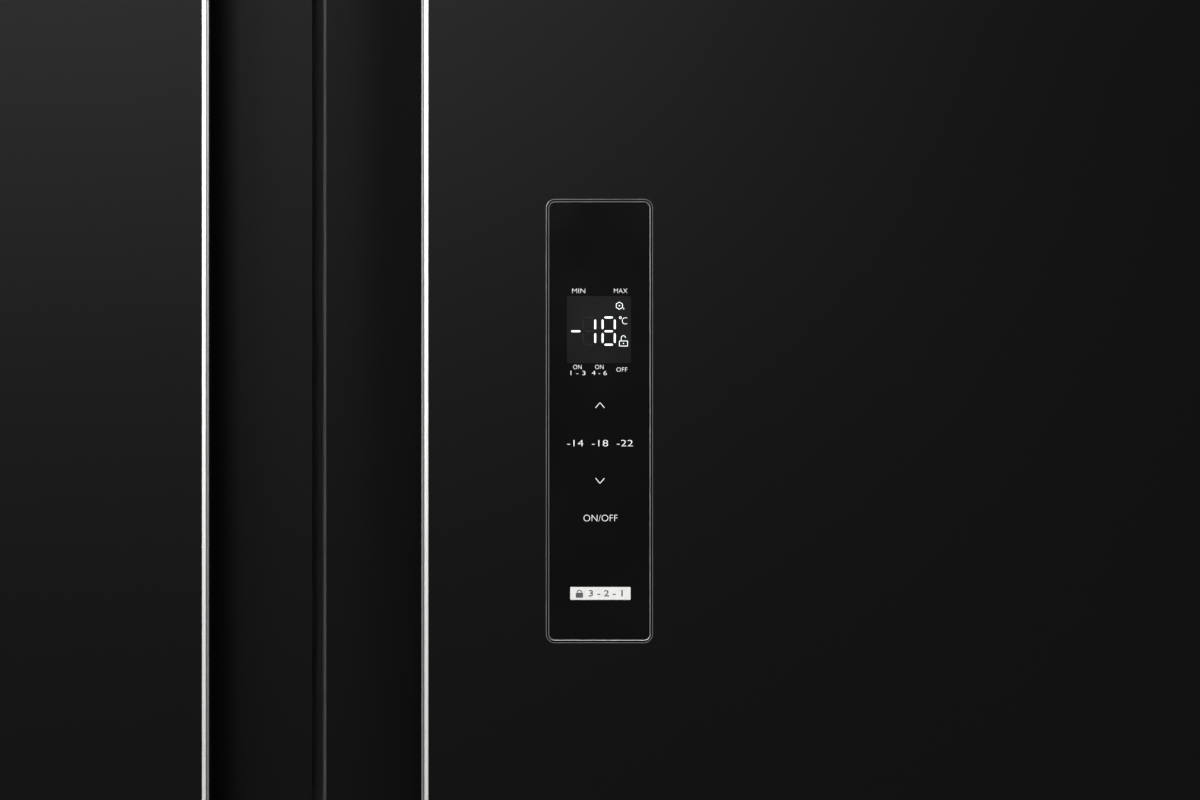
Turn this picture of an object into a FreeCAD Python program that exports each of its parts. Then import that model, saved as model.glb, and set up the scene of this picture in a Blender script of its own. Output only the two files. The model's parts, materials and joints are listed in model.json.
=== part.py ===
# Side-by-side refrigerator and freezer with scooped full-height handles and a touch panel.
# Millimetres. X to the right, Y to the back, Z up. The origin is on the floor, under the middle.
import FreeCAD
import Part
import math
import os
from FreeCAD import Vector

# Overall sizes
WIDTH = 905.0
DEPTH = 700.0
HEIGHT = 1775.0

# Cabinet
HINGE_COVER_H = 25.0
SPACER_D = 12.0
BASE_CLEAR = 20.0
CABINET_BOTTOM = 56.0
WRAPPER_T = 1.0
WRAPPER_CORNER = 6.0
PAN_T = 1.5
LINER_T = 2.0
SIDE_WALL = 55.0
TOP_WALL = 55.0
FLOOR_WALL = 60.0
BACK_WALL = 60.0
MULLION_W = 60.0
SPLIT_X = -52.5
LINER_CORNER = 28.0
LINER_FLANGE = 12.0
MACHINE_H = 270.0
MACHINE_D = 220.0

# Doors
DOOR_T = 70.0
DOOR_GAP = 6.0
DOOR_BOTTOM = 62.0
DOOR_TOP_GAP = 3.0
GASKET_GAP = 10.0
SKIN_T = 1.0
SKIN_FLANGE = 14.0
DOOR_CORNER = 8.0
CAP_T = 14.0
DYKE_H = 45.0
DYKE_W = 34.0
DYKE_MARGIN = 10.0
DYKE_DRAFT = 5.0
GASKET_W = 16.0
GASKET_SIDE_INSET = 24.0
GASKET_MEET_INSET = 3.5
GASKET_END_INSET = 14.0
BIN_REACH = 105.0
BIN_T = 2.5
BIN_H = 92.0

# Scooped handle along the meeting edge of each door
SCOOP_W = 42.0
SCOOP_DEPTH = 25.0
SCOOP_EDGE_DEPTH = 18.5
SCOOP_EASE = 0.9
SCOOP_ROUND = 170.0
SCOOP_UNDERCUT = 12.0
LIP_T = 6.0
CHANNEL_T = 2.5
TRIM_W = 3.0
TRIM_GROOVE_W = 0.5
TRIM_BEAD_W = 0.7
TRIM_GROOVE_D = 0.6

# Touch panel in the right door
PANEL_W = 45.3
PANEL_H = 188.0
PANEL_FROM_TRIM = 49.7
PANEL_CENTRE_Z = 1180.0
PANEL_CORNER = 3.8
BEZEL_W = 1.3
BEZEL_D = 6.0
LENS_T = 2.0
LENS_SET_BACK = 0.3
LENS_GAP = 0.35
HOUSING_D = 18.0
HOUSING_T = 1.8
BOARD_T = 1.6

# Hinges
HINGE_FROM_SIDE = 20.0
HINGE_FROM_BACK = 30.0
PIN_R = 5.0
PIN_REACH = 11.0
HINGE_PLATE_T = 3.0
HINGE_PLATE_W = 56.0

# Inside fittings
LEDGE_W = 14.0
LEDGE_H = 8.0
GLASS_T = 4.0
SHELF_PITCH = 255.0
SHELF_COUNT = 4
DRAWER_T = 2.5
DRAWER_FLANGE = 7.0
GRIP_D = 18.0
DRAWER_H = 205.0
BIN_TO_SHELF = 14.0
LOW_DRAWER_RISE = 4.0
HIGH_DRAWER_RISE = 6.0
DRAWER_TO_SHELF = 14.0

# Cooling parts
EVAPORATOR_D = 66.0
COVER_T = 3.0
COIL_R = 4.0
DUCT_W = 190.0
DUCT_D = 34.0
COMPRESSOR_R = 74.0
COMPRESSOR_H = 150.0
COMPRESSOR_FROM_SIDE = 202.5
FAN_R = 78.0
FREEZER_FAN_R = 52.0
FAN_SHAFT_R = 3.0
FAN_SHIFT = 30.0

# Stance
ROLLER_R = 24.0
ROLLER_W = 20.0
ROLLER_INSET = 70.0
AXLE_R = 4.0
FOOT_R = 19.0
FOOT_STEM_R = 5.0
FOOT_INSET = 75.0

# Clearances
RUN_FIT = 0.05
SEAT_GAP = 0.3
SLIDE_GAP = 0.4

# Planes that follow from the sizes
SIDE_X = WIDTH / 2
CABINET_TOP = HEIGHT - HINGE_COVER_H
DOOR_FRONT = -DEPTH / 2
DOOR_BACK = DOOR_FRONT + DOOR_T
CABINET_FRONT = DOOR_BACK + GASKET_GAP
CABINET_BACK = DEPTH / 2 - SPACER_D
DOOR_TOP = CABINET_TOP - DOOR_TOP_GAP
LINER_FLOOR = CABINET_BOTTOM + FLOOR_WALL
LINER_TOP = CABINET_TOP - TOP_WALL
LINER_BACK = CABINET_BACK - BACK_WALL
MACHINE_FRONT = CABINET_BACK - MACHINE_D
MACHINE_TOP = BASE_CLEAR + MACHINE_H
HUMP_FRONT = MACHINE_FRONT - BACK_WALL
HUMP_TOP = MACHINE_TOP + FLOOR_WALL
HINGE_Y = DOOR_BACK - HINGE_FROM_BACK
HINGE_X = SIDE_X - HINGE_FROM_SIDE
FREEZER_X = (-SIDE_X + SIDE_WALL, SPLIT_X - MULLION_W / 2)
FRIDGE_X = (SPLIT_X + MULLION_W / 2, SIDE_X - SIDE_WALL)
PAN_FLOOR = BASE_CLEAR + PAN_T
FITTINGS_FRONT = DOOR_BACK + BIN_REACH + BIN_TO_SHELF
DRAWER_FLOORS = (LINER_FLOOR + LINER_T + LOW_DRAWER_RISE, HUMP_TOP + LINER_T + HIGH_DRAWER_RISE)
SHELF_BASE = DRAWER_FLOORS[1] + DRAWER_H + DRAWER_TO_SHELF
SHELF_LEVELS = [SHELF_BASE + SHELF_PITCH * i for i in range(SHELF_COUNT)]

parts = {}


# Shape helpers

def box(x0, x1, y0, y1, z0, z1):
    return Part.makeBox(x1 - x0, y1 - y0, z1 - z0, Vector(x0, y0, z0))


def rod(radius, start, end):
    along = end - start
    return Part.makeCylinder(radius, along.Length, start, along)


def in_plane(plane, u, v, level):
    if plane == "xy":
        return Vector(u, v, level)
    if plane == "xz":
        return Vector(u, level, v)
    return Vector(level, u, v)


def outline(points, plane, level):
    """Closed wire through (u, v) corners; a third number rounds that corner."""
    corners = []
    for i, point in enumerate(points):
        here = in_plane(plane, point[0], point[1], level)
        radius = point[2] if len(point) > 2 else 0.0
        if radius <= 0:
            corners.append((here, None, here))
            continue
        before = points[i - 1]
        after = points[(i + 1) % len(points)]
        to_before = (in_plane(plane, before[0], before[1], level) - here).normalize()
        to_after = (in_plane(plane, after[0], after[1], level) - here).normalize()
        half = to_before.getAngle(to_after) / 2
        reach = radius / math.tan(half)
        bisector = (to_before + to_after).normalize()
        middle = here + bisector * (radius / math.sin(half) - radius)
        corners.append((here + to_before * reach, middle, here + to_after * reach))
    edges = []
    for i, (start, middle, end) in enumerate(corners):
        if middle is not None:
            edges.append(Part.Arc(start, middle, end).toShape())
        following = corners[(i + 1) % len(corners)][0]
        if end.distanceToPoint(following) > 1e-6:
            edges.append(Part.LineSegment(end, following).toShape())
    return Part.Wire(edges)


def prism(points, plane, low, high):
    face = Part.Face(outline(points, plane, low))
    return face.extrude(in_plane(plane, 0, 0, high - low))


def rect(u0, u1, v0, v1, radius=0.0):
    return [(u0, v0, radius), (u1, v0, radius), (u1, v1, radius), (u0, v1, radius)]


def frame_ring(outer, inner, plane, low, high):
    return prism(outer, plane, low, high).cut(prism(inner, plane, low - 1, high + 1))


def taper(points_low, points_high, plane, low, high):
    return Part.makeLoft([outline(points_low, plane, low), outline(points_high, plane, high)], True, True)


def fused(first, *others):
    return first.fuse(list(others)).removeSplitter() if others else first


def bent_tube(points, bend, radius):
    """A round tube along straight runs that are joined by tangent arcs."""
    edges = []
    last = points[0]
    for before, here, after in zip(points, points[1:], points[2:]):
        to_before = (before - here).normalize()
        to_after = (after - here).normalize()
        half = to_before.getAngle(to_after) / 2
        reach = bend / math.tan(half)
        middle = here + (to_before + to_after).normalize() * (bend / math.sin(half) - bend)
        start = here + to_before * reach
        end = here + to_after * reach
        if last.distanceToPoint(start) > 1e-6:
            edges.append(Part.LineSegment(last, start).toShape())
        edges.append(Part.Arc(start, middle, end).toShape())
        last = end
    edges.append(Part.LineSegment(last, points[-1]).toShape())
    section = Part.Wire(Part.Circle(points[0], points[1] - points[0], radius).toShape())
    return Part.Wire(edges).makePipe(Part.Face(section))


def fan_rotor(centre, axis, tip, hub, depth, blades, shaft_back):
    """Hub, twisted blades and shaft, made along Z and turned onto the axis."""
    rotor = Part.makeCylinder(hub, depth, Vector(0, 0, -depth / 2))
    rim = [e for e in rotor.Edges if abs(e.CenterOfMass.z - depth / 2) < 0.01 and e.Length > hub]
    rotor = rotor.makeFillet(hub * 0.25, rim)
    sweep = Part.makeCylinder(tip, 2 * tip, Vector(0, 0, -tip))
    for i in range(blades):
        sections = []
        for share in (0.0, 1.0):
            radius = hub * 0.8 + (tip - hub * 0.8) * share
            chord = radius * 2 * math.sin(math.pi / blades) * 0.42
            pitch = math.radians(48 - 22 * share)
            run = Vector(0, math.cos(pitch), math.sin(pitch)) * chord
            lift = Vector(0, -math.sin(pitch), math.cos(pitch))
            mid = Vector(radius, 0, 0)
            thick = lift * 0.9
            bow = lift * (chord * 0.16)
            upper = Part.Arc(mid - run + thick, mid + bow + thick, mid + run + thick).toShape()
            lower = Part.Arc(mid + run - thick, mid + bow - thick, mid - run - thick).toShape()
            nose = Part.LineSegment(mid + run + thick, mid + run - thick).toShape()
            tail = Part.LineSegment(mid - run - thick, mid - run + thick).toShape()
            sections.append(Part.Wire([upper, nose, lower, tail]))
        blade = Part.makeLoft(sections, True, True).common(sweep)
        blade.rotate(Vector(0, 0, 0), Vector(0, 0, 1), 360.0 * i / blades)
        rotor = rotor.fuse(blade)
    rotor = rotor.fuse(Part.makeCylinder(FAN_SHAFT_R, shaft_back + depth / 2, Vector(0, 0, -shaft_back)))
    turn = FreeCAD.Rotation(Vector(0, 0, 1), axis)
    rotor.Placement = FreeCAD.Placement(centre, turn)
    return rotor


def add(name, *solids):
    """Keep one piece, or a group of like pieces, under its node name."""
    shape = solids[0] if len(solids) == 1 else Part.makeCompound(list(solids))
    parts[name] = shape
    return shape


# Cabinet shell, foam and liners

FLANGE_X = SIDE_X - SIDE_WALL + LINER_FLANGE
FLANGE_TOP = LINER_TOP + LINER_FLANGE
FLANGE_FLOOR = LINER_FLOOR - LINER_FLANGE
SHEET_BACK = CABINET_FRONT + WRAPPER_T


def cabinet_outline(inset, low):
    corner = max(WRAPPER_CORNER - inset, 0.0)
    side = SIDE_X - inset
    top = CABINET_TOP - inset
    return [(-side, low), (side, low), (side, top, corner), (-side, top, corner)]


def make_wrapper():
    """Pre-painted sheet folded into an inverted U, with a flange turned in at the front."""
    shell = prism(cabinet_outline(0, BASE_CLEAR), "xz", CABINET_FRONT, CABINET_BACK)
    hollow = prism(cabinet_outline(WRAPPER_T, BASE_CLEAR - 1), "xz", SHEET_BACK, CABINET_BACK + 1)
    window = box(-FLANGE_X, FLANGE_X, CABINET_FRONT - 1, SHEET_BACK + 1, BASE_CLEAR - 1, FLANGE_TOP)
    return shell.cut([hollow, window])


def liner_block(span, inset, front):
    """Inside of a compartment, stepped over the machine room, drawn in by inset."""
    radius = LINER_CORNER - inset
    floor = LINER_FLOOR + inset
    back = LINER_BACK - inset
    step = HUMP_FRONT - inset
    sill = HUMP_TOP + inset
    top = LINER_TOP - inset
    side_view = [
        (front, floor),
        (step, floor, radius),
        (step, sill, LINER_CORNER + inset),
        (back, sill, radius),
        (back, top, radius),
        (front, top),
    ]
    low = span[0] + inset
    high = span[1] - inset
    block = prism(side_view, "yz", low, high)
    rims = []
    for edge in block.Edges:
        bounds = edge.BoundBox
        on_side = bounds.XLength < 0.01 and min(abs(bounds.XMin - low), abs(bounds.XMin - high)) < 0.01
        on_front = bounds.YLength < 0.01 and abs(bounds.YMin - front) < 0.01
        if on_side and not on_front:
            rims.append(edge)
    return block.makeFillet(LINER_CORNER / 2 - inset, rims)


def ledge(wall, inward, top, front, back):
    """Moulded rail on a liner wall, sloped underneath so that the mould releases."""
    root = wall - inward * LINER_T / 2
    nose = wall + inward * LEDGE_W
    side = [(root, top), (nose, top), (nose, top - LEDGE_H / 2), (root, top - 2 * LEDGE_H)]
    return prism(side, "xz", front, back)


def drawer_rail_top(floor):
    return floor + DRAWER_H - DRAWER_T - SLIDE_GAP


def make_liner(span, shelf_back):
    hollow = liner_block(span, LINER_T, CABINET_FRONT - LINER_CORNER)
    shell = liner_block(span, 0, CABINET_FRONT).cut(hollow)
    lap = LINER_T / 2
    flange = frame_ring(
        rect(span[0] - LINER_FLANGE, span[1] + LINER_FLANGE, FLANGE_FLOOR, FLANGE_TOP),
        rect(span[0] + lap, span[1] - lap, LINER_FLOOR + lap, LINER_TOP - lap),
        "xz", CABINET_FRONT, SHEET_BACK)
    rails = []
    step_back = HUMP_FRONT - LINER_CORNER - LINER_T
    for wall, inward in ((span[0] + LINER_T, 1), (span[1] - LINER_T, -1)):
        for level in SHELF_LEVELS:
            rails.append(ledge(wall, inward, level, FITTINGS_FRONT, shelf_back))
        for floor, back in zip(DRAWER_FLOORS, (step_back, shelf_back)):
            rails.append(ledge(wall, inward, drawer_rail_top(floor), FITTINGS_FRONT + GRIP_D, back))
    return fused(shell, flange, *rails)


def make_mullion_strip():
    """Steel strip over the wall between the compartments, where both gaskets meet it."""
    left = FREEZER_X[1] + LINER_FLANGE
    right = FRIDGE_X[0] - LINER_FLANGE
    leg = LINER_FLANGE
    section = [
        (left, CABINET_FRONT),
        (right, CABINET_FRONT),
        (right, CABINET_FRONT + leg),
        (right - WRAPPER_T, CABINET_FRONT + leg),
        (right - WRAPPER_T, SHEET_BACK),
        (left + WRAPPER_T, SHEET_BACK),
        (left + WRAPPER_T, CABINET_FRONT + leg),
        (left, CABINET_FRONT + leg),
    ]
    return prism(section, "xy", FLANGE_FLOOR, FLANGE_TOP)


EVAPORATOR_FRONT = LINER_BACK - LINER_T - EVAPORATOR_D
FREEZER_SHELF_BACK = EVAPORATOR_FRONT - COVER_T
FRIDGE_SHELF_BACK = LINER_BACK - LINER_T - DUCT_D

add("outer_wrapper", make_wrapper())
add("freezer_liner", make_liner(FREEZER_X, FREEZER_SHELF_BACK))
add("fridge_liner", make_liner(FRIDGE_X, FRIDGE_SHELF_BACK))
add("mullion_strip", make_mullion_strip())

foam = prism(cabinet_outline(WRAPPER_T, CABINET_BOTTOM), "xz", SHEET_BACK, CABINET_BACK - WRAPPER_T)
machine_room = box(-SIDE_X, SIDE_X, MACHINE_FRONT, CABINET_BACK, CABINET_BOTTOM - 1, MACHINE_TOP)
foam = foam.cut([
    machine_room,
    liner_block(FREEZER_X, 0, CABINET_FRONT),
    liner_block(FRIDGE_X, 0, CABINET_FRONT),
    parts["mullion_strip"],
])
add("cabinet_insulation", foam)


# Back and base

RIB_W = 34.0
RIB_D = 4.0
RIB_COUNT = 5
SLOT_H = 6.0
GLAND_R = 10.0
GLAND_BORE_R = 4.2
GLAND_FLANGE_R = 16.0
GLAND_FLANGE_T = 4.0
GLAND_DEPTH = 16.0
GLAND_FROM_SIDE = 75.0
GLAND_RISE = 65.0
GLAND_X = -SIDE_X + GLAND_FROM_SIDE
GLAND_Z = BASE_CLEAR + GLAND_RISE
SLOT_PITCH = 18.0
GRILLE_COLUMNS = 3
GRILLE_LOW = 50.0
GRILLE_TOP = 60.0
GRILLE_GLAND_SIDE = 150.0
GRILLE_FAR_SIDE = 60.0
GRILLE_MIDDLE = 40.0
SPACER_LOW = 120.0
SPACER_HIGH = 90.0
SPACER_FOOT = (24.0, 18.0)
SPACER_CREST = (16.0, 11.0)
SPACER_ROUND = 6.0


def make_rear_panel():
    """Galvanised sheet with upright pressed ribs."""
    low = MACHINE_TOP
    panel = prism(cabinet_outline(WRAPPER_T, low), "xz", CABINET_BACK - WRAPPER_T, CABINET_BACK)
    pitch = WIDTH / (RIB_COUNT + 1)
    margin = pitch / 2
    ribs = []
    for i in range(RIB_COUNT):
        centre = -SIDE_X + pitch * (i + 1)
        foot = rect(centre - RIB_W / 2, centre + RIB_W / 2, low + margin, CABINET_TOP - margin)
        inset = margin + RIB_D
        crest = rect(centre - RIB_W / 4, centre + RIB_W / 4, low + inset, CABINET_TOP - inset)
        ribs.append(taper(foot, crest, "xz", CABINET_BACK, CABINET_BACK + RIB_D))
    return fused(panel, *ribs)


def slot_rows(x0, x1, y0, y1, z0, rows, row_pitch, columns, bar):
    """Cutters for a louvred field: even slots with bars between them."""
    length = (x1 - x0 - bar * (columns - 1)) / columns
    cutters = []
    for row in range(rows):
        low = z0 + row * row_pitch
        for column in range(columns):
            left = x0 + column * (length + bar)
            cutters.append(box(left, left + length, y0, y1, low, low + SLOT_H))
    return cutters


def make_rear_grille():
    side = SIDE_X - WRAPPER_T
    plate = box(-side, side, CABINET_BACK - WRAPPER_T, CABINET_BACK, PAN_FLOOR, MACHINE_TOP)
    rows = int((MACHINE_H - GRILLE_LOW - GRILLE_TOP) / SLOT_PITCH)
    y0 = CABINET_BACK - WRAPPER_T - 1
    y1 = CABINET_BACK + 1
    cutters = []
    for left, right in ((-side + GRILLE_GLAND_SIDE, -GRILLE_MIDDLE), (GRILLE_MIDDLE, side - GRILLE_FAR_SIDE)):
        cutters += slot_rows(left, right, y0, y1, PAN_FLOOR + GRILLE_LOW, rows, SLOT_PITCH,
                             GRILLE_COLUMNS, SLOT_PITCH)
    cutters.append(rod(GLAND_R, Vector(GLAND_X, y0, GLAND_Z), Vector(GLAND_X, y1, GLAND_Z)))
    return plate.cut(cutters)


ROLLER_FROM_BACK = 26.0
ROLLER_CLEAR = 4.0
FOOT_FROM_FRONT = 18.0
ROLLER_Y = CABINET_BACK - ROLLER_R - ROLLER_FROM_BACK
FOOT_Y = CABINET_FRONT + FOOT_R + FOOT_FROM_FRONT
EAR_T = 2.5
EAR_GAP = 1.0
FOOT_BOSS_R = 13.0


def make_base_pan():
    """Pressed steel tray with a front apron, side flanges, foot bosses and roller ears."""
    side = SIDE_X - WRAPPER_T
    back = CABINET_BACK - WRAPPER_T
    tray = box(-side, side, SHEET_BACK, back, BASE_CLEAR, PAN_FLOOR)
    apron = box(-FLANGE_X, FLANGE_X, CABINET_FRONT, SHEET_BACK, BASE_CLEAR, FLANGE_FLOOR)
    pieces = [apron]
    cutters = []
    for sign in (-1, 1):
        outer = sign * side
        inner = sign * (side - PAN_T)
        x0, x1 = sorted((outer, inner))
        pieces.append(box(x0, x1, SHEET_BACK, back, BASE_CLEAR, CABINET_BOTTOM))
        foot_x = sign * (SIDE_X - FOOT_INSET)
        boss_base = Vector(foot_x, FOOT_Y, BASE_CLEAR)
        boss_top = Vector(foot_x, FOOT_Y, CABINET_BOTTOM)
        pieces.append(rod(FOOT_BOSS_R, boss_base, boss_top))
        stem_low = boss_base - Vector(0, 0, 1)
        cutters.append(rod(FOOT_STEM_R + RUN_FIT, stem_low, boss_top - Vector(0, 0, PAN_T)))
        roller_x = sign * (SIDE_X - ROLLER_INSET)
        half = ROLLER_W / 2 + EAR_GAP
        clear = ROLLER_R + ROLLER_CLEAR
        cutters.append(box(roller_x - half, roller_x + half, ROLLER_Y - clear, ROLLER_Y + clear,
                           BASE_CLEAR - 1, PAN_FLOOR + 1))
        ear = [
            (ROLLER_Y - 2.5 * AXLE_R, PAN_FLOOR - PAN_T / 2),
            (ROLLER_Y + 2.5 * AXLE_R, PAN_FLOOR - PAN_T / 2),
            (ROLLER_Y + 2.5 * AXLE_R, ROLLER_R + 2.5 * AXLE_R, 2 * AXLE_R),
            (ROLLER_Y - 2.5 * AXLE_R, ROLLER_R + 2.5 * AXLE_R, 2 * AXLE_R),
        ]
        pieces.append(prism(ear, "yz", roller_x - half - EAR_T, roller_x - half))
        pieces.append(prism(ear, "yz", roller_x + half, roller_x + half + EAR_T))
        reach = half + EAR_T + 1
        cutters.append(rod(AXLE_R + RUN_FIT, Vector(roller_x - reach, ROLLER_Y, ROLLER_R),
                           Vector(roller_x + reach, ROLLER_Y, ROLLER_R)))
    bulkhead = side - PAN_T
    pieces.append(box(-bulkhead, bulkhead, MACHINE_FRONT - PAN_T, MACHINE_FRONT,
                      PAN_FLOOR, CABINET_BOTTOM))
    return fused(tray, *pieces).cut(cutters)


def make_roller(sign):
    """Wheel with bevelled edges, turned in one piece with its stub axle."""
    centre = sign * (SIDE_X - ROLLER_INSET)
    half = ROLLER_W / 2
    reach = half + EAR_GAP + EAR_T
    edge = ROLLER_R / 8
    profile = [
        (centre - reach, ROLLER_R),
        (centre + reach, ROLLER_R),
        (centre + reach, ROLLER_R + AXLE_R),
        (centre + half, ROLLER_R + AXLE_R),
        (centre + half, 2 * ROLLER_R - edge),
        (centre + half - edge, 2 * ROLLER_R),
        (centre - half + edge, 2 * ROLLER_R),
        (centre - half, 2 * ROLLER_R - edge),
        (centre - half, ROLLER_R + AXLE_R),
        (centre - reach, ROLLER_R + AXLE_R),
    ]
    face = Part.Face(outline(profile, "xz", ROLLER_Y))
    return face.revolve(Vector(0, ROLLER_Y, ROLLER_R), Vector(1, 0, 0), 360)


def make_foot(sign):
    """Levelling foot: a dished disc on a threaded stem."""
    centre = sign * (SIDE_X - FOOT_INSET)
    disc_top = BASE_CLEAR / 2
    profile = [
        (centre, 0),
        (centre + FOOT_R, 0),
        (centre + FOOT_R, disc_top / 2),
        (centre + FOOT_R * 0.7, disc_top),
        (centre + FOOT_STEM_R, disc_top),
        (centre + FOOT_STEM_R, CABINET_BOTTOM - 2 * PAN_T),
        (centre, CABINET_BOTTOM - 2 * PAN_T),
    ]
    face = Part.Face(outline(profile, "xz", FOOT_Y))
    return face.revolve(Vector(centre, FOOT_Y, 0), Vector(0, 0, 1), 360)


TOE_LOW = 10.0
TOE_TOP_GAP = 12.0
TOE_TOP = DOOR_BOTTOM - TOE_TOP_GAP
TOE_COLUMNS = 8
TOE_PROUD = 30.0
TOE_T = 2.5
TOE_SIDE_CLEAR = 82.0


def make_toe_grille():
    """Kick plate under the doors: a shallow moulded channel with air slots."""
    side = SIDE_X - TOE_SIDE_CLEAR
    front = CABINET_FRONT - TOE_PROUD
    radius = 3 * TOE_T
    outer = [(-side, CABINET_FRONT), (-side, front, radius), (side, front, radius), (side, CABINET_FRONT)]
    inner_side = side - TOE_T
    inner = [(-inner_side, CABINET_FRONT + 1), (-inner_side, front + TOE_T, radius - TOE_T),
             (inner_side, front + TOE_T, radius - TOE_T), (inner_side, CABINET_FRONT + 1)]
    channel = prism(outer, "xy", TOE_LOW, TOE_TOP).cut(prism(inner, "xy", TOE_LOW - 1, TOE_TOP - TOE_T))
    margin = 4 * radius
    cutters = slot_rows(-side + margin, side - margin, front - 1, front + TOE_T + 1,
                        TOE_LOW + SLOT_H, 2, 2 * SLOT_H, TOE_COLUMNS, SLOT_PITCH)
    return channel.cut(cutters)


add("rear_panel", make_rear_panel())
add("rear_grille", make_rear_grille())
add("base_pan", make_base_pan())
add("roller_left", make_roller(-1))
add("roller_right", make_roller(1))
add("foot_left", make_foot(-1))
add("foot_right", make_foot(1))
add("toe_grille", make_toe_grille())

def spacer_plan(x, z, half):
    return rect(x - half[0], x + half[0], z - half[1], z + half[1], SPACER_ROUND)


spacers = []
for spacer_x in (-SIDE_X / 2, SIDE_X / 2):
    for spacer_z in (MACHINE_TOP + SPACER_LOW, CABINET_TOP - SPACER_HIGH):
        spacers.append(taper(spacer_plan(spacer_x, spacer_z, SPACER_FOOT),
                             spacer_plan(spacer_x, spacer_z, SPACER_CREST),
                             "xz", CABINET_BACK, CABINET_BACK + SPACER_D))
add("rear_spacers", *spacers)


def make_gland():
    """Round bush in the rear grille, bored for a supply lead."""
    face = Vector(GLAND_X, CABINET_BACK, GLAND_Z)
    inside = face - Vector(0, GLAND_DEPTH, 0)
    outside = face + Vector(0, GLAND_FLANGE_T, 0)
    past = Vector(0, 1, 0)
    bush = fused(rod(GLAND_R, inside, face), rod(GLAND_FLANGE_R, face, outside))
    return bush.cut(rod(GLAND_BORE_R, inside - past, outside + past))


add("cord_gland", make_gland())


# Doors: the plan view is drawn from the meeting edge towards the hinge, front to back

SHELL_BACK = DOOR_T - LINER_T
LIP_BACK = LIP_T - CHANNEL_T
SCOOP_TURN = SCOOP_W - 2 * SCOOP_UNDERCUT
BIN_COUNT = 4
BIN_DRAFT = 4.0
BIN_RIM = 5.0
BIN_CORNER = 12.0
BOSS_W = 7.0
BIN_RISE = 24.0
BIN_REAR_ROUND = 3.0
DYKE_ROUND = 16.0
DYKE_INNER_ROUND = 8.0
CORE_Z = (DOOR_BOTTOM + CAP_T, DOOR_TOP - CAP_T)
DYKE_Z = (LINER_FLOOR + LINER_T + DYKE_MARGIN, LINER_TOP - LINER_T - DYKE_MARGIN)
PAST = 20.0


class Door:
    """Places one door: side is 1 for a door hinged on the right, and -1 on the left."""

    def __init__(self, name, side, span):
        self.name = name
        self.side = side
        self.meet = SPLIT_X + side * DOOR_GAP / 2
        self.width = SIDE_X - side * self.meet
        self.dyke_x = (span[0] + LINER_T + DYKE_MARGIN, span[1] - LINER_T - DYKE_MARGIN)
        self.hinge = Vector(side * HINGE_X, HINGE_Y, 0)

    def plan(self, points):
        return [(self.meet + self.side * p[0], DOOR_FRONT + p[1], *p[2:]) for p in points]

    def upright(self, points, span=CORE_Z):
        return prism(self.plan(points), "xy", span[0], span[1])

    def across(self, near, far):
        return sorted((self.meet + self.side * near, self.meet + self.side * far))


def scoop_face(door):
    """Plan of the air in the hand recess: its floor rolls off from the meeting edge to the undercut."""
    slope = SCOOP_EASE / SCOOP_TURN
    deep = SCOOP_W + SCOOP_UNDERCUT
    points = [
        (-PAST, -PAST),
        (SCOOP_W, -PAST),
        (SCOOP_W, LIP_T),
        (deep, LIP_T, LIP_T * 0.8),
        (deep, SCOOP_DEPTH, SCOOP_UNDERCUT * 0.9),
        (SCOOP_TURN, SCOOP_EDGE_DEPTH + SCOOP_EASE, SCOOP_ROUND),
        (-PAST, SCOOP_EDGE_DEPTH - PAST * slope),
    ]
    return Part.Face(outline(door.plan(points), "xy", CORE_Z[0]))


def scoop_prism(door, grow):
    face = scoop_face(door)
    if grow:
        face = face.makeOffset2D(grow)
    return face.extrude(Vector(0, 0, CORE_Z[1] - CORE_Z[0]))


def make_channel(door, scoop, scoop_wall):
    """Moulded handle profile: the lining of the scoop and the edge wall of the door."""
    keep = door.upright([(0, LIP_BACK), (door.width, LIP_BACK), (door.width, SHELL_BACK), (0, SHELL_BACK)])
    wall_from = SCOOP_EDGE_DEPTH + CHANNEL_T / 2
    wall = door.upright([(0, wall_from), (CHANNEL_T, wall_from), (CHANNEL_T, SHELL_BACK), (0, SHELL_BACK)])
    return fused(scoop_wall.common(keep).cut(scoop), wall)


def make_trim(door):
    """Bright strip on the lip, with a fine bead, a groove and a broad bead."""
    groove = SCOOP_W + TRIM_BEAD_W
    crest = groove + TRIM_GROOVE_W
    end = SCOOP_W + TRIM_W
    return door.upright([
        (SCOOP_W, LIP_BACK),
        (SCOOP_W, 0, TRIM_BEAD_W / 3),
        (groove, 0, TRIM_BEAD_W / 3),
        (groove, TRIM_GROOVE_D),
        (crest, TRIM_GROOVE_D),
        (crest, 0, TRIM_BEAD_W / 3),
        (end, 0, TRIM_BEAD_W / 3),
        (end, LIP_BACK),
    ])


def make_skin(door):
    """Folded steel front with a rounded hinge edge, a side return and a rear flange."""
    start = SCOOP_W + TRIM_W
    wide = door.width
    return door.upright([
        (start, 0),
        (wide, 0, DOOR_CORNER),
        (wide, SHELL_BACK),
        (wide - SKIN_FLANGE, SHELL_BACK),
        (wide - SKIN_FLANGE, SHELL_BACK - SKIN_T),
        (wide - SKIN_T, SHELL_BACK - SKIN_T),
        (wide - SKIN_T, SKIN_T, DOOR_CORNER - SKIN_T),
        (start + SKIN_T, SKIN_T),
        (start + SKIN_T, LIP_BACK),
        (start, LIP_BACK),
    ])


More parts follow.
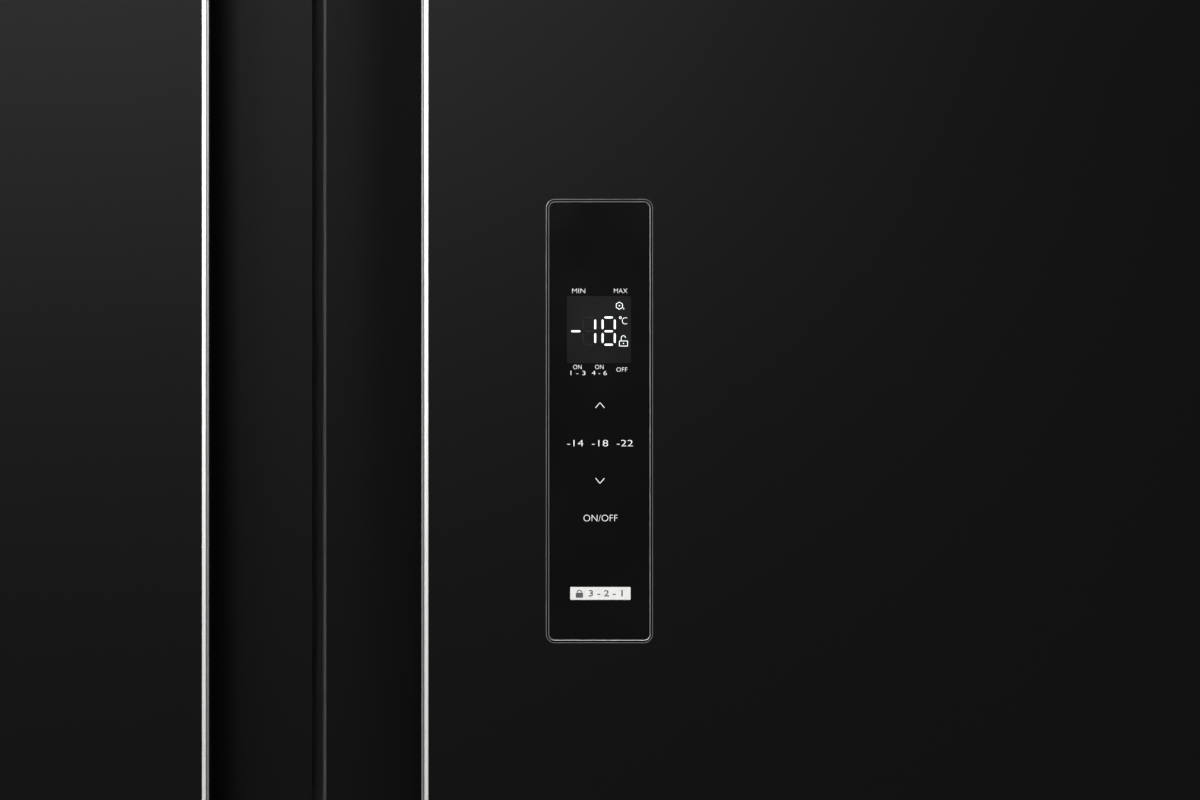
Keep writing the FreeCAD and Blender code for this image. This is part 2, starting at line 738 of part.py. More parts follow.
def make_caps(door):
    """End caps that close the scoop and the foam, and carry the hinge bores."""
    plan = [
        (0, 0, DOOR_CORNER / 2),
        (door.width, 0, DOOR_CORNER),
        (door.width, SHELL_BACK),
        (0, SHELL_BACK),
    ]
    low = door.upright(plan, (DOOR_BOTTOM, CORE_Z[0]))
    high = door.upright(plan, (CORE_Z[1], DOOR_TOP))
    bore = PIN_R + RUN_FIT
    deep = Vector(0, 0, PIN_REACH + 1)
    foot = door.hinge + Vector(0, 0, DOOR_BOTTOM)
    head = door.hinge + Vector(0, 0, DOOR_TOP)
    low = low.cut(Part.makeCylinder(bore, 1 + deep.z, foot - Vector(0, 0, 1)))
    high = high.cut(Part.makeCylinder(bore, 1 + deep.z, head - deep))
    return low, high


def dyke_outline(door, inset, radius):
    x0, x1 = door.dyke_x
    return rect(x0 + inset, x1 - inset, DYKE_Z[0] + inset, DYKE_Z[1] - inset, radius)


def dyke_ring(door, inset, front, crest):
    """Raised frame of the door liner, drafted inside and outside."""
    outer = taper(dyke_outline(door, inset, DYKE_ROUND),
                  dyke_outline(door, inset + DYKE_DRAFT, DYKE_ROUND), "xz", front, crest)
    gap = DYKE_W - inset
    inner = taper(dyke_outline(door, gap, DYKE_INNER_ROUND),
                  dyke_outline(door, gap - DYKE_DRAFT, DYKE_INNER_ROUND), "xz", front, crest)
    return outer.cut(inner)


def bin_floor(index):
    low = DYKE_Z[0] + DYKE_W
    pitch = (DYKE_Z[1] - DYKE_W - low) / BIN_COUNT
    return low + pitch * index + BIN_RISE


def make_door_liner(door):
    """Thermoformed inner face: a flat margin for the gasket, a raised frame and bin bosses."""
    x0, x1 = door.across(SKIN_T, door.width - SKIN_T)
    plate = box(x0, x1, DOOR_BACK - LINER_T, DOOR_BACK, DOOR_BOTTOM + SKIN_T, DOOR_TOP - SKIN_T)
    ring = dyke_ring(door, 0, DOOR_BACK, DOOR_BACK + DYKE_H)
    core = dyke_ring(door, LINER_T, DOOR_BACK - LINER_T, DOOR_BACK + DYKE_H - LINER_T)
    bosses = []
    for index in range(BIN_COUNT):
        top = bin_floor(index)
        for wall, inward in ((door.dyke_x[0] + DYKE_W, 1), (door.dyke_x[1] - DYKE_W, -1)):
            root = wall - inward * (DYKE_DRAFT + LINER_T / 2)
            nose = wall + inward * BOSS_W
            side = [(root, top), (nose, top), (nose, top - BOSS_W), (root, top - 2 * BOSS_W)]
            bosses.append(prism(side, "xz", DOOR_BACK, DOOR_BACK + DYKE_H - 2 * BOSS_W))
    liner = fused(plate.fuse(ring), *bosses).cut(core)
    return liner, core


def make_bins(door):
    """Clear trays that sit on the bosses of the door liner."""
    x0 = door.dyke_x[0] + DYKE_W + SEAT_GAP
    x1 = door.dyke_x[1] - DYKE_W - SEAT_GAP
    y0 = DOOR_BACK + SEAT_GAP
    y1 = DOOR_BACK + BIN_REACH
    bins = []
    for index in range(BIN_COUNT):
        low = bin_floor(index)
        top = low + BIN_H

        def plan(inset):
            left = x0 + inset
            right = x1 - inset
            return [
                (left, y0 + inset, BIN_REAR_ROUND),
                (right, y0 + inset, BIN_REAR_ROUND),
                (right, y1 - inset, BIN_CORNER),
                (left, y1 - inset, BIN_CORNER),
            ]

        body = taper(plan(BIN_DRAFT), plan(0), "xy", low, top)
        hollow = taper(plan(BIN_DRAFT + BIN_T), plan(BIN_T), "xy", low + BIN_T, top + BIN_T)
        rim = frame_ring(plan(0), plan(2 * BIN_T), "xy", top - BIN_RIM, top)
        bins.append(fused(body.cut(hollow), rim))
    return bins


def make_gasket(door):
    """Soft seal in three bands: a root, a narrow bellows and a magnet pocket."""
    x0, x1 = door.across(GASKET_MEET_INSET, door.width - GASKET_SIDE_INSET)
    z0 = DOOR_BOTTOM + GASKET_END_INSET
    z1 = DOOR_TOP - GASKET_END_INSET
    reach = GASKET_GAP - SEAT_GAP
    bands = []
    for squeeze, low, high in ((0, 0, 0.3), (4, 0.3, 0.65), (1, 0.65, 1)):
        near = squeeze
        far = GASKET_W - squeeze
        bands.append(frame_ring(
            rect(x0 + near, x1 - near, z0 + near, z1 - near),
            rect(x0 + far, x1 - far, z0 + far, z1 - far),
            "xz", DOOR_BACK + reach * low, DOOR_BACK + reach * high))
    return fused(*bands)


# Touch panel: bezel, lens, board and the tub that keeps the foam away

PANEL_RIM = 3.0
WINDOW_W = 27.0
WINDOW_H = 28.4
WINDOW_RISE = 38.7
BOARD_SET_BACK = 9.0
LENS_STEP = 1.8


def panel_rect(door, inset):
    centre = door.meet + door.side * (SCOOP_W + TRIM_W + PANEL_FROM_TRIM + PANEL_W / 2)
    half_w = PANEL_W / 2 - inset
    half_h = PANEL_H / 2 - inset
    radius = max(PANEL_CORNER - inset, 0.8)
    return rect(centre - half_w, centre + half_w, PANEL_CENTRE_Z - half_h, PANEL_CENTRE_Z + half_h, radius)


def panel_slab(door, inset, front, back):
    return prism(panel_rect(door, inset), "xz", DOOR_FRONT + front, DOOR_FRONT + back)


def make_panel(door):
    rim_back = SKIN_T + HOUSING_T
    step = LENS_SET_BACK + LENS_T
    bezel = panel_slab(door, 0, 0, BEZEL_D).fuse(panel_slab(door, -PANEL_RIM, SKIN_T, rim_back))
    bezel = bezel.cut([
        panel_slab(door, BEZEL_W, -1, step),
        panel_slab(door, BEZEL_W + LENS_STEP, -1, BEZEL_D + 1),
    ])
    lens = panel_slab(door, BEZEL_W + LENS_GAP, LENS_SET_BACK, step)
    tub_back = rim_back + HOUSING_D
    tub = panel_slab(door, -PANEL_RIM, rim_back, tub_back)
    tub = tub.cut(panel_slab(door, HOUSING_T - PANEL_RIM, rim_back - 1, tub_back - HOUSING_T))
    board_back = BOARD_SET_BACK + BOARD_T
    board = panel_slab(door, BEZEL_W, BOARD_SET_BACK, board_back)
    centre = door.meet + door.side * (SCOOP_W + TRIM_W + PANEL_FROM_TRIM + PANEL_W / 2)
    rise = PANEL_CENTRE_Z + WINDOW_RISE
    board = board.fuse(box(centre - WINDOW_W / 2, centre + WINDOW_W / 2,
                           DOOR_FRONT + step + 1.0, DOOR_FRONT + BOARD_SET_BACK,
                           rise - WINDOW_H / 2, rise + WINDOW_H / 2))
    posts = []
    for sx in (-1, 1):
        for sz in (-1, 1):
            x = centre + sx * (PANEL_W / 2 - 3 * BEZEL_W)
            z = PANEL_CENTRE_Z + sz * (PANEL_H / 2 - 6 * BEZEL_W)
            posts.append(rod(2 * BEZEL_W, Vector(x, DOOR_FRONT + board_back, z),
                             Vector(x, DOOR_FRONT + tub_back - HOUSING_T / 2, z)))
    return bezel, lens, board, fused(tub, *posts)


def make_door(door, with_panel):
    scoop = scoop_prism(door, 0)
    scoop_wall = scoop_prism(door, CHANNEL_T)
    skin = make_skin(door)
    channel = make_channel(door, scoop, scoop_wall)
    liner, core = make_door_liner(door)
    wide = door.width - SKIN_T
    foam = door.upright([
        (CHANNEL_T, SKIN_T),
        (wide, SKIN_T, DOOR_CORNER - SKIN_T),
        (wide, SHELL_BACK),
        (CHANNEL_T, SHELL_BACK),
    ])
    lip = door.upright([(0, -1), (SCOOP_W + TRIM_W, -1), (SCOOP_W + TRIM_W, LIP_BACK), (0, LIP_BACK)])
    foam = foam.cut([scoop, scoop_wall, channel, skin, lip])
    if with_panel:
        bezel, lens, board, tub = make_panel(door)
        skin = skin.cut(panel_slab(door, 0, -1, SKIN_T + 1))
        foam = foam.cut(panel_slab(door, -PANEL_RIM, SKIN_T, SKIN_T + HOUSING_T + HOUSING_D))
        add("panel_bezel", bezel)
        add("panel_lens", lens)
        add("display_board", board)
        add("panel_housing", tub)
    add(door.name + "_door_skin", skin)
    add(door.name + "_door_caps", *make_caps(door))
    add(door.name + "_door_foam", fused(foam, core))
    add(door.name + "_door_liner", liner)
    add(door.name + "_handle_channel", channel)
    add(door.name + "_edge_trim", make_trim(door))
    add(door.name + "_door_gasket", make_gasket(door))
    add(door.name + "_door_bins", *make_bins(door))


FREEZER_DOOR = Door("freezer", -1, FREEZER_X)
FRIDGE_DOOR = Door("fridge", 1, FRIDGE_X)
make_door(FREEZER_DOOR, False)
make_door(FRIDGE_DOOR, True)


# Hinges

PLATE_END_R = 14.0
TOP_PLATE_BACK = 110.0
COVER_MARGIN = 4.0
COVER_T_HINGE = 2.0
SCREW_R = 2.5
SCREW_HEAD_R = 5.8
SCREW_HEAD_H = 4.0
PLATE_ROUND = 8.0
COVER_ROUND = 12.0
COVER_INNER_ROUND = 16.0
COVER_RIM_R = 6.0
BOTTOM_PLATE_DROP = 5.0
BOTTOM_LEG_W = 36.0
COLLAR_R = 9.0
FRONT_REACH = CABINET_FRONT - HINGE_Y


def about_hinge(side, points):
    return [(side * (HINGE_X + p[0]), HINGE_Y + p[1], *p[2:]) for p in points]


def hexagon(u, v):
    corners = [math.tau * i / 6 for i in range(6)]
    return [(u + SCREW_HEAD_R * math.cos(a), v + SCREW_HEAD_R * math.sin(a)) for a in corners]


def make_top_hinge(side):
    """Cranked plate on the cabinet top with its pin pointing down into the door."""
    inner = PLATE_END_R - HINGE_PLATE_W
    neck = FRONT_REACH - 2 * HINGE_PLATE_T
    plan = about_hinge(side, [
        (PLATE_END_R, -PLATE_END_R, PLATE_END_R - 1),
        (PLATE_END_R, TOP_PLATE_BACK, PLATE_ROUND),
        (inner, TOP_PLATE_BACK, PLATE_ROUND + SCREW_R),
        (inner, FRONT_REACH + PLATE_END_R, PLATE_ROUND),
        (-PLATE_END_R, neck, PLATE_ROUND),
        (-PLATE_END_R, -PLATE_END_R, PLATE_END_R - 1),
    ])
    top = CABINET_TOP + HINGE_PLATE_T
    plate = prism(plan, "xy", CABINET_TOP, top)
    axis = Vector(side * HINGE_X, HINGE_Y, 0)
    plate = fused(plate, rod(PIN_R, axis + Vector(0, 0, DOOR_TOP - PIN_REACH), axis + Vector(0, 0, top)))
    screws = []
    middle = (FRONT_REACH + TOP_PLATE_BACK) / 2
    places = [
        (0, FRONT_REACH + PLATE_END_R),
        (0, TOP_PLATE_BACK - PLATE_END_R),
        (inner + PLATE_END_R, middle),
    ]
    for dx, dy in places:
        x = side * (HINGE_X + dx)
        y = HINGE_Y + dy
        plate = plate.cut(rod(SCREW_R + RUN_FIT, Vector(x, y, CABINET_TOP - 1), Vector(x, y, top + 1)))
        head = prism(hexagon(x, y), "xy", top, top + SCREW_HEAD_H)
        screws.append(fused(head, rod(SCREW_R, Vector(x, y, CABINET_TOP), Vector(x, y, top))))
    return plate, screws


def make_bottom_hinge(side):
    """Angle bracket under the door, with a collar that bears the door and a pin pointing up."""
    top = DOOR_BOTTOM - BOTTOM_PLATE_DROP
    plan = about_hinge(side, [
        (PLATE_END_R, -PLATE_END_R, PLATE_END_R - 1),
        (PLATE_END_R, FRONT_REACH),
        (-BOTTOM_LEG_W, FRONT_REACH),
        (-BOTTOM_LEG_W, FRONT_REACH / 2, PLATE_ROUND),
        (-PLATE_END_R, -PLATE_END_R, PLATE_END_R - 2),
    ])
    plate = prism(plan, "xy", top - HINGE_PLATE_T, top)
    x0, x1 = sorted((side * (HINGE_X + PLATE_END_R), side * (HINGE_X - BOTTOM_LEG_W)))
    leg_front = CABINET_FRONT - HINGE_PLATE_T
    leg_low = BASE_CLEAR + HINGE_PLATE_T
    leg = box(x0, x1, leg_front, CABINET_FRONT, leg_low, top)
    axis = Vector(side * HINGE_X, HINGE_Y, 0)
    pin = rod(PIN_R, axis + Vector(0, 0, top - HINGE_PLATE_T), axis + Vector(0, 0, DOOR_BOTTOM + PIN_REACH))
    collar = rod(COLLAR_R, axis + Vector(0, 0, top), axis + Vector(0, 0, DOOR_BOTTOM - SEAT_GAP))
    bracket = fused(plate, leg, pin, collar)
    screws = []
    height = (leg_low + top - HINGE_PLATE_T) / 2
    for dx in (0, PLATE_END_R - BOTTOM_LEG_W):
        x = side * (HINGE_X + dx)
        near = Vector(x, leg_front, height)
        far = Vector(x, CABINET_FRONT, height)
        past = Vector(0, 1, 0)
        bracket = bracket.cut(rod(SCREW_R + RUN_FIT, near - past, far + past))
        head = prism(hexagon(x, height), "xz", leg_front - SCREW_HEAD_H, leg_front)
        screws.append(fused(head, rod(SCREW_R, near, far)))
    return bracket, screws


def make_hinge_cover(side):
    """Moulded cap over the top hinge, open underneath."""
    def plan(inset):
        outer = PLATE_END_R + COVER_MARGIN - inset
        back = TOP_PLATE_BACK + COVER_MARGIN - inset
        inner = PLATE_END_R - HINGE_PLATE_W - COVER_MARGIN + inset
        return about_hinge(side, [
            (outer, -outer, COVER_ROUND - inset),
            (outer, back, COVER_ROUND - inset),
            (inner, back, COVER_INNER_ROUND - inset),
            (inner, -outer, COVER_INNER_ROUND - inset),
        ])

    body = prism(plan(0), "xy", CABINET_TOP, HEIGHT)
    rim = [e for e in body.Edges if e.BoundBox.ZMin > HEIGHT - 0.1]
    body = body.makeFillet(COVER_RIM_R, rim)
    return body.cut(prism(plan(COVER_T_HINGE), "xy", CABINET_TOP - 1, HEIGHT - 3 * COVER_T_HINGE))


top_hinges = []
bottom_hinges = []
hinge_screws = []
for hand in (-1, 1):
    piece, screws = make_top_hinge(hand)
    top_hinges.append(piece)
    hinge_screws += screws
    piece, screws = make_bottom_hinge(hand)
    bottom_hinges.append(piece)
    hinge_screws += screws
add("top_hinges", *top_hinges)
add("bottom_hinges", *bottom_hinges)
add("hinge_screws", *hinge_screws)
add("hinge_covers", *[make_hinge_cover(hand) for hand in (-1, 1)])


# Shelves, drawers, lamps and ice maker

DRAWER_DRAFT = 6.0
SHELF_TRIM_D = 14.0
LAMP_W = 180.0
LAMP_D = 34.0
LAMP_H = 9.0
LAMP_FROM_FRONT = 55.0
LAMP_ROUND = 4.0
DRAWER_SIDE_GAP = 2.0
TRIM_FLAT = 0.2


def make_shelf(span, level, back):
    """Glass pane on the moulded rails, with a trim along its front and rear edges."""
    wall = LINER_T + SEAT_GAP
    front = FITTINGS_FRONT
    grip = SHELF_TRIM_D * 0.45
    pane = box(span[0] + wall, span[1] - wall, front + grip, back - grip, level, level + GLASS_T)
    x0 = span[0] + LINER_T + LEDGE_W + SEAT_GAP
    x1 = span[1] - LINER_T - LEDGE_W - SEAT_GAP
    lip = SHELF_TRIM_D * 0.3
    top = level + GLASS_T
    roll = lip / 2 - TRIM_FLAT
    nose = prism(rect(front, front + SHELF_TRIM_D, level - lip, top + lip / 2, roll), "yz", x0, x1)
    heel = prism(rect(back - SHELF_TRIM_D, back, level - lip, top + lip, roll), "yz", x0, x1)
    return pane, nose.cut(pane), heel.cut(pane)


def make_drawer(span, floor, back):
    """Clear drawer that hangs by side flanges on the liner rails, with a bowed front and a grip."""
    body_gap = LINER_T + LEDGE_W + DRAWER_SIDE_GAP
    x0 = span[0] + body_gap
    x1 = span[1] - body_gap
    front = FITTINGS_FRONT
    top = floor + DRAWER_H
    skin = DRAWER_T * 1.6
    inner = front + skin
    corner = 4 * DRAWER_T

    def plan(inset, lean):
        side = inset + lean
        return rect(x0 + side, x1 - side, inner - skin / 2 + inset, back - side, corner - inset)

    tray = taper(plan(0, DRAWER_DRAFT), plan(0, 0), "xy", floor, top)
    hollow = taper(plan(DRAWER_T, DRAWER_DRAFT), plan(DRAWER_T, 0), "xy", floor + DRAWER_T, top + DRAWER_T)
    flange_low = top - DRAWER_T
    strips = [
        box(x0 - DRAWER_FLANGE, x0 + DRAWER_T / 2, inner, back - corner, flange_low, top),
        box(x1 - DRAWER_T / 2, x1 + DRAWER_FLANGE, inner, back - corner, flange_low, top),
    ]
    bow = DRAWER_H / 5
    side_view = [
        (front + skin * 0.8, floor),
        (front, floor + bow, bow),
        (front, top, DRAWER_T / 2),
        (front + GRIP_D, top),
        (front + GRIP_D, top - DRAWER_T),
        (inner, top - DRAWER_T),
        (inner, floor),
    ]
    panel = prism(side_view, "yz", x0 - DRAWER_FLANGE, x1 + DRAWER_FLANGE)
    return fused(tray.cut(hollow), panel, *strips)


def make_lamp(span):
    """Long light lens on the compartment ceiling, behind the door edge."""
    centre = (span[0] + span[1]) / 2
    front = CABINET_FRONT + LAMP_FROM_FRONT
    ceiling = LINER_TOP - LINER_T
    half = LAMP_W / 2
    back = front + LAMP_D
    low = rect(centre - half + LAMP_H, centre + half - LAMP_H, front + LAMP_H, back - LAMP_H / 2, LAMP_ROUND)
    high = rect(centre - half, centre + half, front, back, LAMP_ROUND)
    return taper(low, high, "xy", ceiling - LAMP_H, ceiling)


panes = []
trims = []
for span, back in ((FREEZER_X, FREEZER_SHELF_BACK), (FRIDGE_X, FRIDGE_SHELF_BACK)):
    for level in SHELF_LEVELS:
        pane, nose, heel = make_shelf(span, level, back - SEAT_GAP)
        panes.append(pane)
        trims += [nose, heel]
add("shelf_glass", *panes)
add("shelf_trims", *trims)
add("interior_lamps", make_lamp(FREEZER_X), make_lamp(FRIDGE_X))

LOW_DRAWER_BACK = HUMP_FRONT - LINER_T - LINER_CORNER
add("freezer_drawer_lower", make_drawer(FREEZER_X, DRAWER_FLOORS[0], LOW_DRAWER_BACK))
add("freezer_drawer_upper", make_drawer(FREEZER_X, DRAWER_FLOORS[1], FREEZER_SHELF_BACK - 2 * LEDGE_H))
add("crisper_lower", make_drawer(FRIDGE_X, DRAWER_FLOORS[0], LOW_DRAWER_BACK))
add("crisper_upper", make_drawer(FRIDGE_X, DRAWER_FLOORS[1], FRIDGE_SHELF_BACK - 2 * LEDGE_H))

ICE_FROM_FRONT = 250.0
ICE_DROP = 78.0
ICE_W = 100.0
ICE_H = 32.0
ICE_CELLS = 5
ICE_RIM = 9.0
ICE_SHAFT_R = 6.0
ICE_END_T = 6.0
ICE_END_GAP = 2.0
ICE_DRIVE_L = 34.0
ICE_END_CLEAR = 31.0
ICE_DRIVE_CLEAR = 20.0
ICE_X0 = FREEZER_X[0] + ICE_END_CLEAR + ICE_END_T + ICE_END_GAP
ICE_X1 = FREEZER_X[1] - ICE_DRIVE_CLEAR - ICE_DRIVE_L - ICE_END_GAP
ICE_X = (ICE_X0 + ICE_X1) / 2
ICE_L = ICE_X1 - ICE_X0
ICE_Y = CABINET_FRONT + ICE_FROM_FRONT


def make_ice_maker():
    """Ceiling frame with a drive box at one end, and the twisting cube tray it carries."""
    ceiling = LINER_TOP - LINER_T
    axis_z = ceiling - ICE_DROP
    half = ICE_L / 2
    inner = half + ICE_END_GAP
    roof_half = ICE_W / 2 + ICE_END_T
    frame = box(ICE_X - inner - ICE_END_T, ICE_X + inner + ICE_DRIVE_L,
                ICE_Y - roof_half, ICE_Y + roof_half, ceiling - ICE_END_T, ceiling)
    cheek = [
        (ICE_Y - roof_half, ceiling),
        (ICE_Y - roof_half * 0.5, axis_z - 3 * ICE_SHAFT_R, 2 * ICE_SHAFT_R),
        (ICE_Y + roof_half * 0.5, axis_z - 3 * ICE_SHAFT_R, 2 * ICE_SHAFT_R),
        (ICE_Y + roof_half, ceiling),
    ]
    frame = fused(frame, prism(cheek, "yz", ICE_X - inner - ICE_END_T, ICE_X - inner),
                  prism(cheek, "yz", ICE_X + inner, ICE_X + inner + ICE_DRIVE_L))
    reach = inner + ICE_END_T
    centre = Vector(ICE_X, ICE_Y, axis_z)
    past = Vector(reach + 1, 0, 0)
    frame = frame.cut(rod(ICE_SHAFT_R + RUN_FIT, centre - past, centre + past))
    top = axis_z + ICE_H / 2
    low = axis_z - ICE_H / 2
    flare = ICE_H / 5

    def tray_plan(inset):
        wide = half - inset
        deep = ICE_W / 2 - inset
        return rect(ICE_X - wide, ICE_X + wide, ICE_Y - deep, ICE_Y + deep)

    tray = taper(tray_plan(flare), tray_plan(0), "xy", low, top)
    pitch = ICE_L / ICE_CELLS
    wall = ICE_H / 10
    pockets = []
    for column in range(ICE_CELLS):
        x0 = ICE_X - half + pitch * column + wall
        x1 = x0 + pitch - 2 * wall
        for y0, y1 in ((ICE_Y - ICE_W / 2 + wall, ICE_Y - wall), (ICE_Y + wall, ICE_Y + ICE_W / 2 - wall)):
            pockets.append(taper(rect(x0 + flare, x1 - flare, y0 + flare, y1 - flare),
                                 rect(x0, x1, y0, y1), "xy", low + 2 * wall, top))
    pockets.append(prism(tray_plan(2 * wall), "xy", top - ICE_RIM, top + 1))
    tray = tray.cut(pockets)
    shafts = []
    for sign in (-1, 1):
        tip = centre + Vector(sign * reach, 0, 0)
        root = centre + Vector(sign * (half - 2 * wall), 0, 0)
        shafts.append(rod(ICE_SHAFT_R, tip, root))
    return frame, fused(tray, *shafts)


ice_frame, ice_tray = make_ice_maker()
add("ice_maker_frame", ice_frame)
add("ice_tray", ice_tray)


# Cooling parts inside the compartments

COVER_RISE = 40.0
FREEZER_FAN_RISE = 110.0
COVER_TOP = SHELF_LEVELS[-1] + COVER_RISE
COVER_LOW = HUMP_TOP + LINER_T + SEAT_GAP
FREEZER_FAN_Z = SHELF_LEVELS[2] + FREEZER_FAN_RISE
RETURN_INSET = 40.0
RETURN_RISE = 20.0
FREEZER_FAN_GAP = 4.0
FAN_BLADES = 5
FREEZER_MOTOR_R = 24.0
FREEZER_MOTOR_L = 26.0
BRACKET_T = 3.0
VENT_BARS = 9
COIL_PASSES = 10
COIL_PITCH = 40.0
COIL_SIDE_GAP = 34.0
COIL_PLATE_T = 1.5
FREEZER_MID = (FREEZER_X[0] + FREEZER_X[1]) / 2
INNER_BACK = LINER_BACK - LINER_T


def make_evaporator_cover():
    """Moulded panel in front of the coil, with a fan grille, a return slot and a closed top."""
    x0 = FREEZER_X[0] + LINER_T + SEAT_GAP
    x1 = FREEZER_X[1] - LINER_T - SEAT_GAP
    front = EVAPORATOR_FRONT - COVER_T
    shoulder = LINER_CORNER / 2
    front_view = [(x0, COVER_LOW, shoulder), (x1, COVER_LOW, shoulder), (x1, COVER_TOP), (x0, COVER_TOP)]
    panel = prism(front_view, "xz", front, EVAPORATOR_FRONT)
    roof = box(x0 + shoulder, x1 - shoulder, front, INNER_BACK, COVER_TOP - COVER_T, COVER_TOP)
    cutters = []
    pitch = 2 * FREEZER_FAN_R / VENT_BARS
    for i in range(VENT_BARS):
        rise = -FREEZER_FAN_R + pitch * (i + 0.5)
        half = math.sqrt(FREEZER_FAN_R ** 2 - rise ** 2)
        z = FREEZER_FAN_Z + rise
        cutters.append(box(FREEZER_MID - half, FREEZER_MID + half, front - 1, EVAPORATOR_FRONT + 1,
                           z - pitch / 4, z + pitch / 4))
    cutters += slot_rows(x0 + RETURN_INSET, x1 - RETURN_INSET, front - 1, EVAPORATOR_FRONT + 1,
                         COVER_LOW + RETURN_RISE, 2, 2 * SLOT_H, GRILLE_COLUMNS, SLOT_PITCH)
    return fused(panel, roof).cut(cutters)


def make_evaporator_coil():
    """One long tube bent to and fro, held in two end plates against the back wall."""
    x0 = FREEZER_X[0] + LINER_T + COIL_SIDE_GAP
    x1 = FREEZER_X[1] - LINER_T - COIL_SIDE_GAP
    y = (EVAPORATOR_FRONT + INNER_BACK) / 2
    low = COVER_LOW + LINER_CORNER + COIL_PITCH / 2
    points = []
    for i in range(COIL_PASSES):
        z = low + COIL_PITCH * i
        ends = (x0, x1) if i % 2 == 0 else (x1, x0)
        points += [Vector(ends[0], y, z), Vector(ends[1], y, z)]
    tube = bent_tube(points, COIL_PITCH / 2, COIL_R)
    plates = []
    for x in (x0 + COIL_PITCH, x1 - COIL_PITCH - COIL_PLATE_T):
        plate = box(x, x + COIL_PLATE_T, y - 5 * COIL_R, INNER_BACK,
                    low - COIL_PITCH / 2, points[-1].z + COIL_PITCH / 2)
        plates.append(plate.cut(tube))
    return [tube] + plates


def make_freezer_fan_motor():
    """Fan motor on a three-armed bracket that is fixed to the back wall."""
    centre = Vector(FREEZER_MID, INNER_BACK, FREEZER_FAN_Z)
    motor = rod(FREEZER_MOTOR_R, centre - Vector(0, FREEZER_MOTOR_L, 0), centre)
    arms = []
    for i in range(3):
        arm = box(-FREEZER_MOTOR_R / 3, FREEZER_MOTOR_R / 3, -BRACKET_T, 0, 0, 2.4 * FREEZER_MOTOR_R)
        arm.rotate(Vector(0, 0, 0), Vector(0, 1, 0), 120 * i)
        arm.translate(centre)
        arms.append(arm)
    bore_front = centre - Vector(0, FREEZER_MOTOR_L + 1, 0)
    bore = rod(FAN_SHAFT_R + RUN_FIT, bore_front, centre - Vector(0, BRACKET_T, 0))
    return fused(motor, *arms).cut(bore)


def make_air_duct():
    """Tall moulded cover on the fridge back wall with pairs of air outlets."""
    centre = (FRIDGE_X[0] + FRIDGE_X[1]) / 2
    low = SHELF_BASE + 5 * LEDGE_H
    top = LINER_TOP - TOP_WALL
    front = INNER_BACK - DUCT_D
    lean = DUCT_D / 2
    half = DUCT_W / 2
    body = taper(rect(centre - half + lean, centre + half - lean, low + lean, top - lean, lean),
                 rect(centre - half, centre + half, low, top, lean), "xz", front, INNER_BACK)
    cutters = []
    for level in SHELF_LEVELS:
        z = level + SHELF_PITCH * 0.55
        for shift in (-half / 2, half / 2):
            middle = centre + shift
            cutters.append(box(middle - half / 4, middle + half / 4, front - 1, front + DUCT_D / 2,
                               z, z + 2 * SLOT_H))
    return body.cut(cutters)


FREEZER_FAN_DEPTH = 18.0
FREEZER_FAN_Y = INNER_BACK - FREEZER_MOTOR_L - FREEZER_FAN_DEPTH
add("evaporator_cover", make_evaporator_cover())
add("evaporator_coil", *make_evaporator_coil())
add("evaporator_fan_motor", make_freezer_fan_motor())
add("evaporator_fan", fan_rotor(Vector(FREEZER_MID, FREEZER_FAN_Y, FREEZER_FAN_Z), Vector(0, -1, 0),
                                FREEZER_FAN_R - FREEZER_FAN_GAP, FREEZER_MOTOR_R * 0.7,
                                FREEZER_FAN_DEPTH, FAN_BLADES,
                                FREEZER_FAN_DEPTH + FREEZER_MOTOR_L - 2 * BRACKET_T))
add("fridge_air_duct", make_air_duct())


# Machine room at the bottom of the back

MACHINE_Y = (MACHINE_FRONT + CABINET_BACK) / 2
MOUNT_H = 14.0
MOUNT_R = 11.0
FOOT_PLATE_T = 3.0
FOOT_PLATE = (95.0, 62.0)
FOOT_PLATE_ROUND = 14.0
MOUNT_INSET = 15.0
SEAM_W = 8.0
SEAM_PROUD = 5.0
TERMINAL_PROUD = 22.0
TERMINAL_HALF = 26.0
TERMINAL_ROUND = 6.0
TERMINAL_RISE = 12.0
PIPE_R = 3.0
PIPE_BEND = 12.0
CONDENSER_FROM_SIDE = 122.5
CONDENSER_ROW = 40.0
CONDENSER_PITCH = 30.0
CONDENSER_PASSES = 6
CONDENSER_FROM_FRONT = 47.0
CONDENSER_L = 110.0
CONDENSER_RISE = 50.0
CONDENSER_PLATE_T = 1.5
FAN_FRAME_T = 6.0
FAN_TIP_GAP = 4.0
FAN_MOTOR_R = 25.0
FAN_MOTOR_L = 40.0
FAN_ARM_T = 6.0
FAN_DEPTH = 22.0
DRIER_R = 9.0
DRAIN_PAN_H = 38.0
DRAIN_PAN_T = 2.0
DRAIN_PAN_ROUND = 16.0
LINE_FROM_FRONT = 12.0
COMPRESSOR_X = SIDE_X - COMPRESSOR_FROM_SIDE
CONDENSER_X = -SIDE_X + CONDENSER_FROM_SIDE
CONDENSER_LOW = PAN_FLOOR + CONDENSER_RISE
FAN_X = (COMPRESSOR_X + CONDENSER_X) / 2 - FAN_SHIFT
LINE_Y = MACHINE_FRONT + LINE_FROM_FRONT


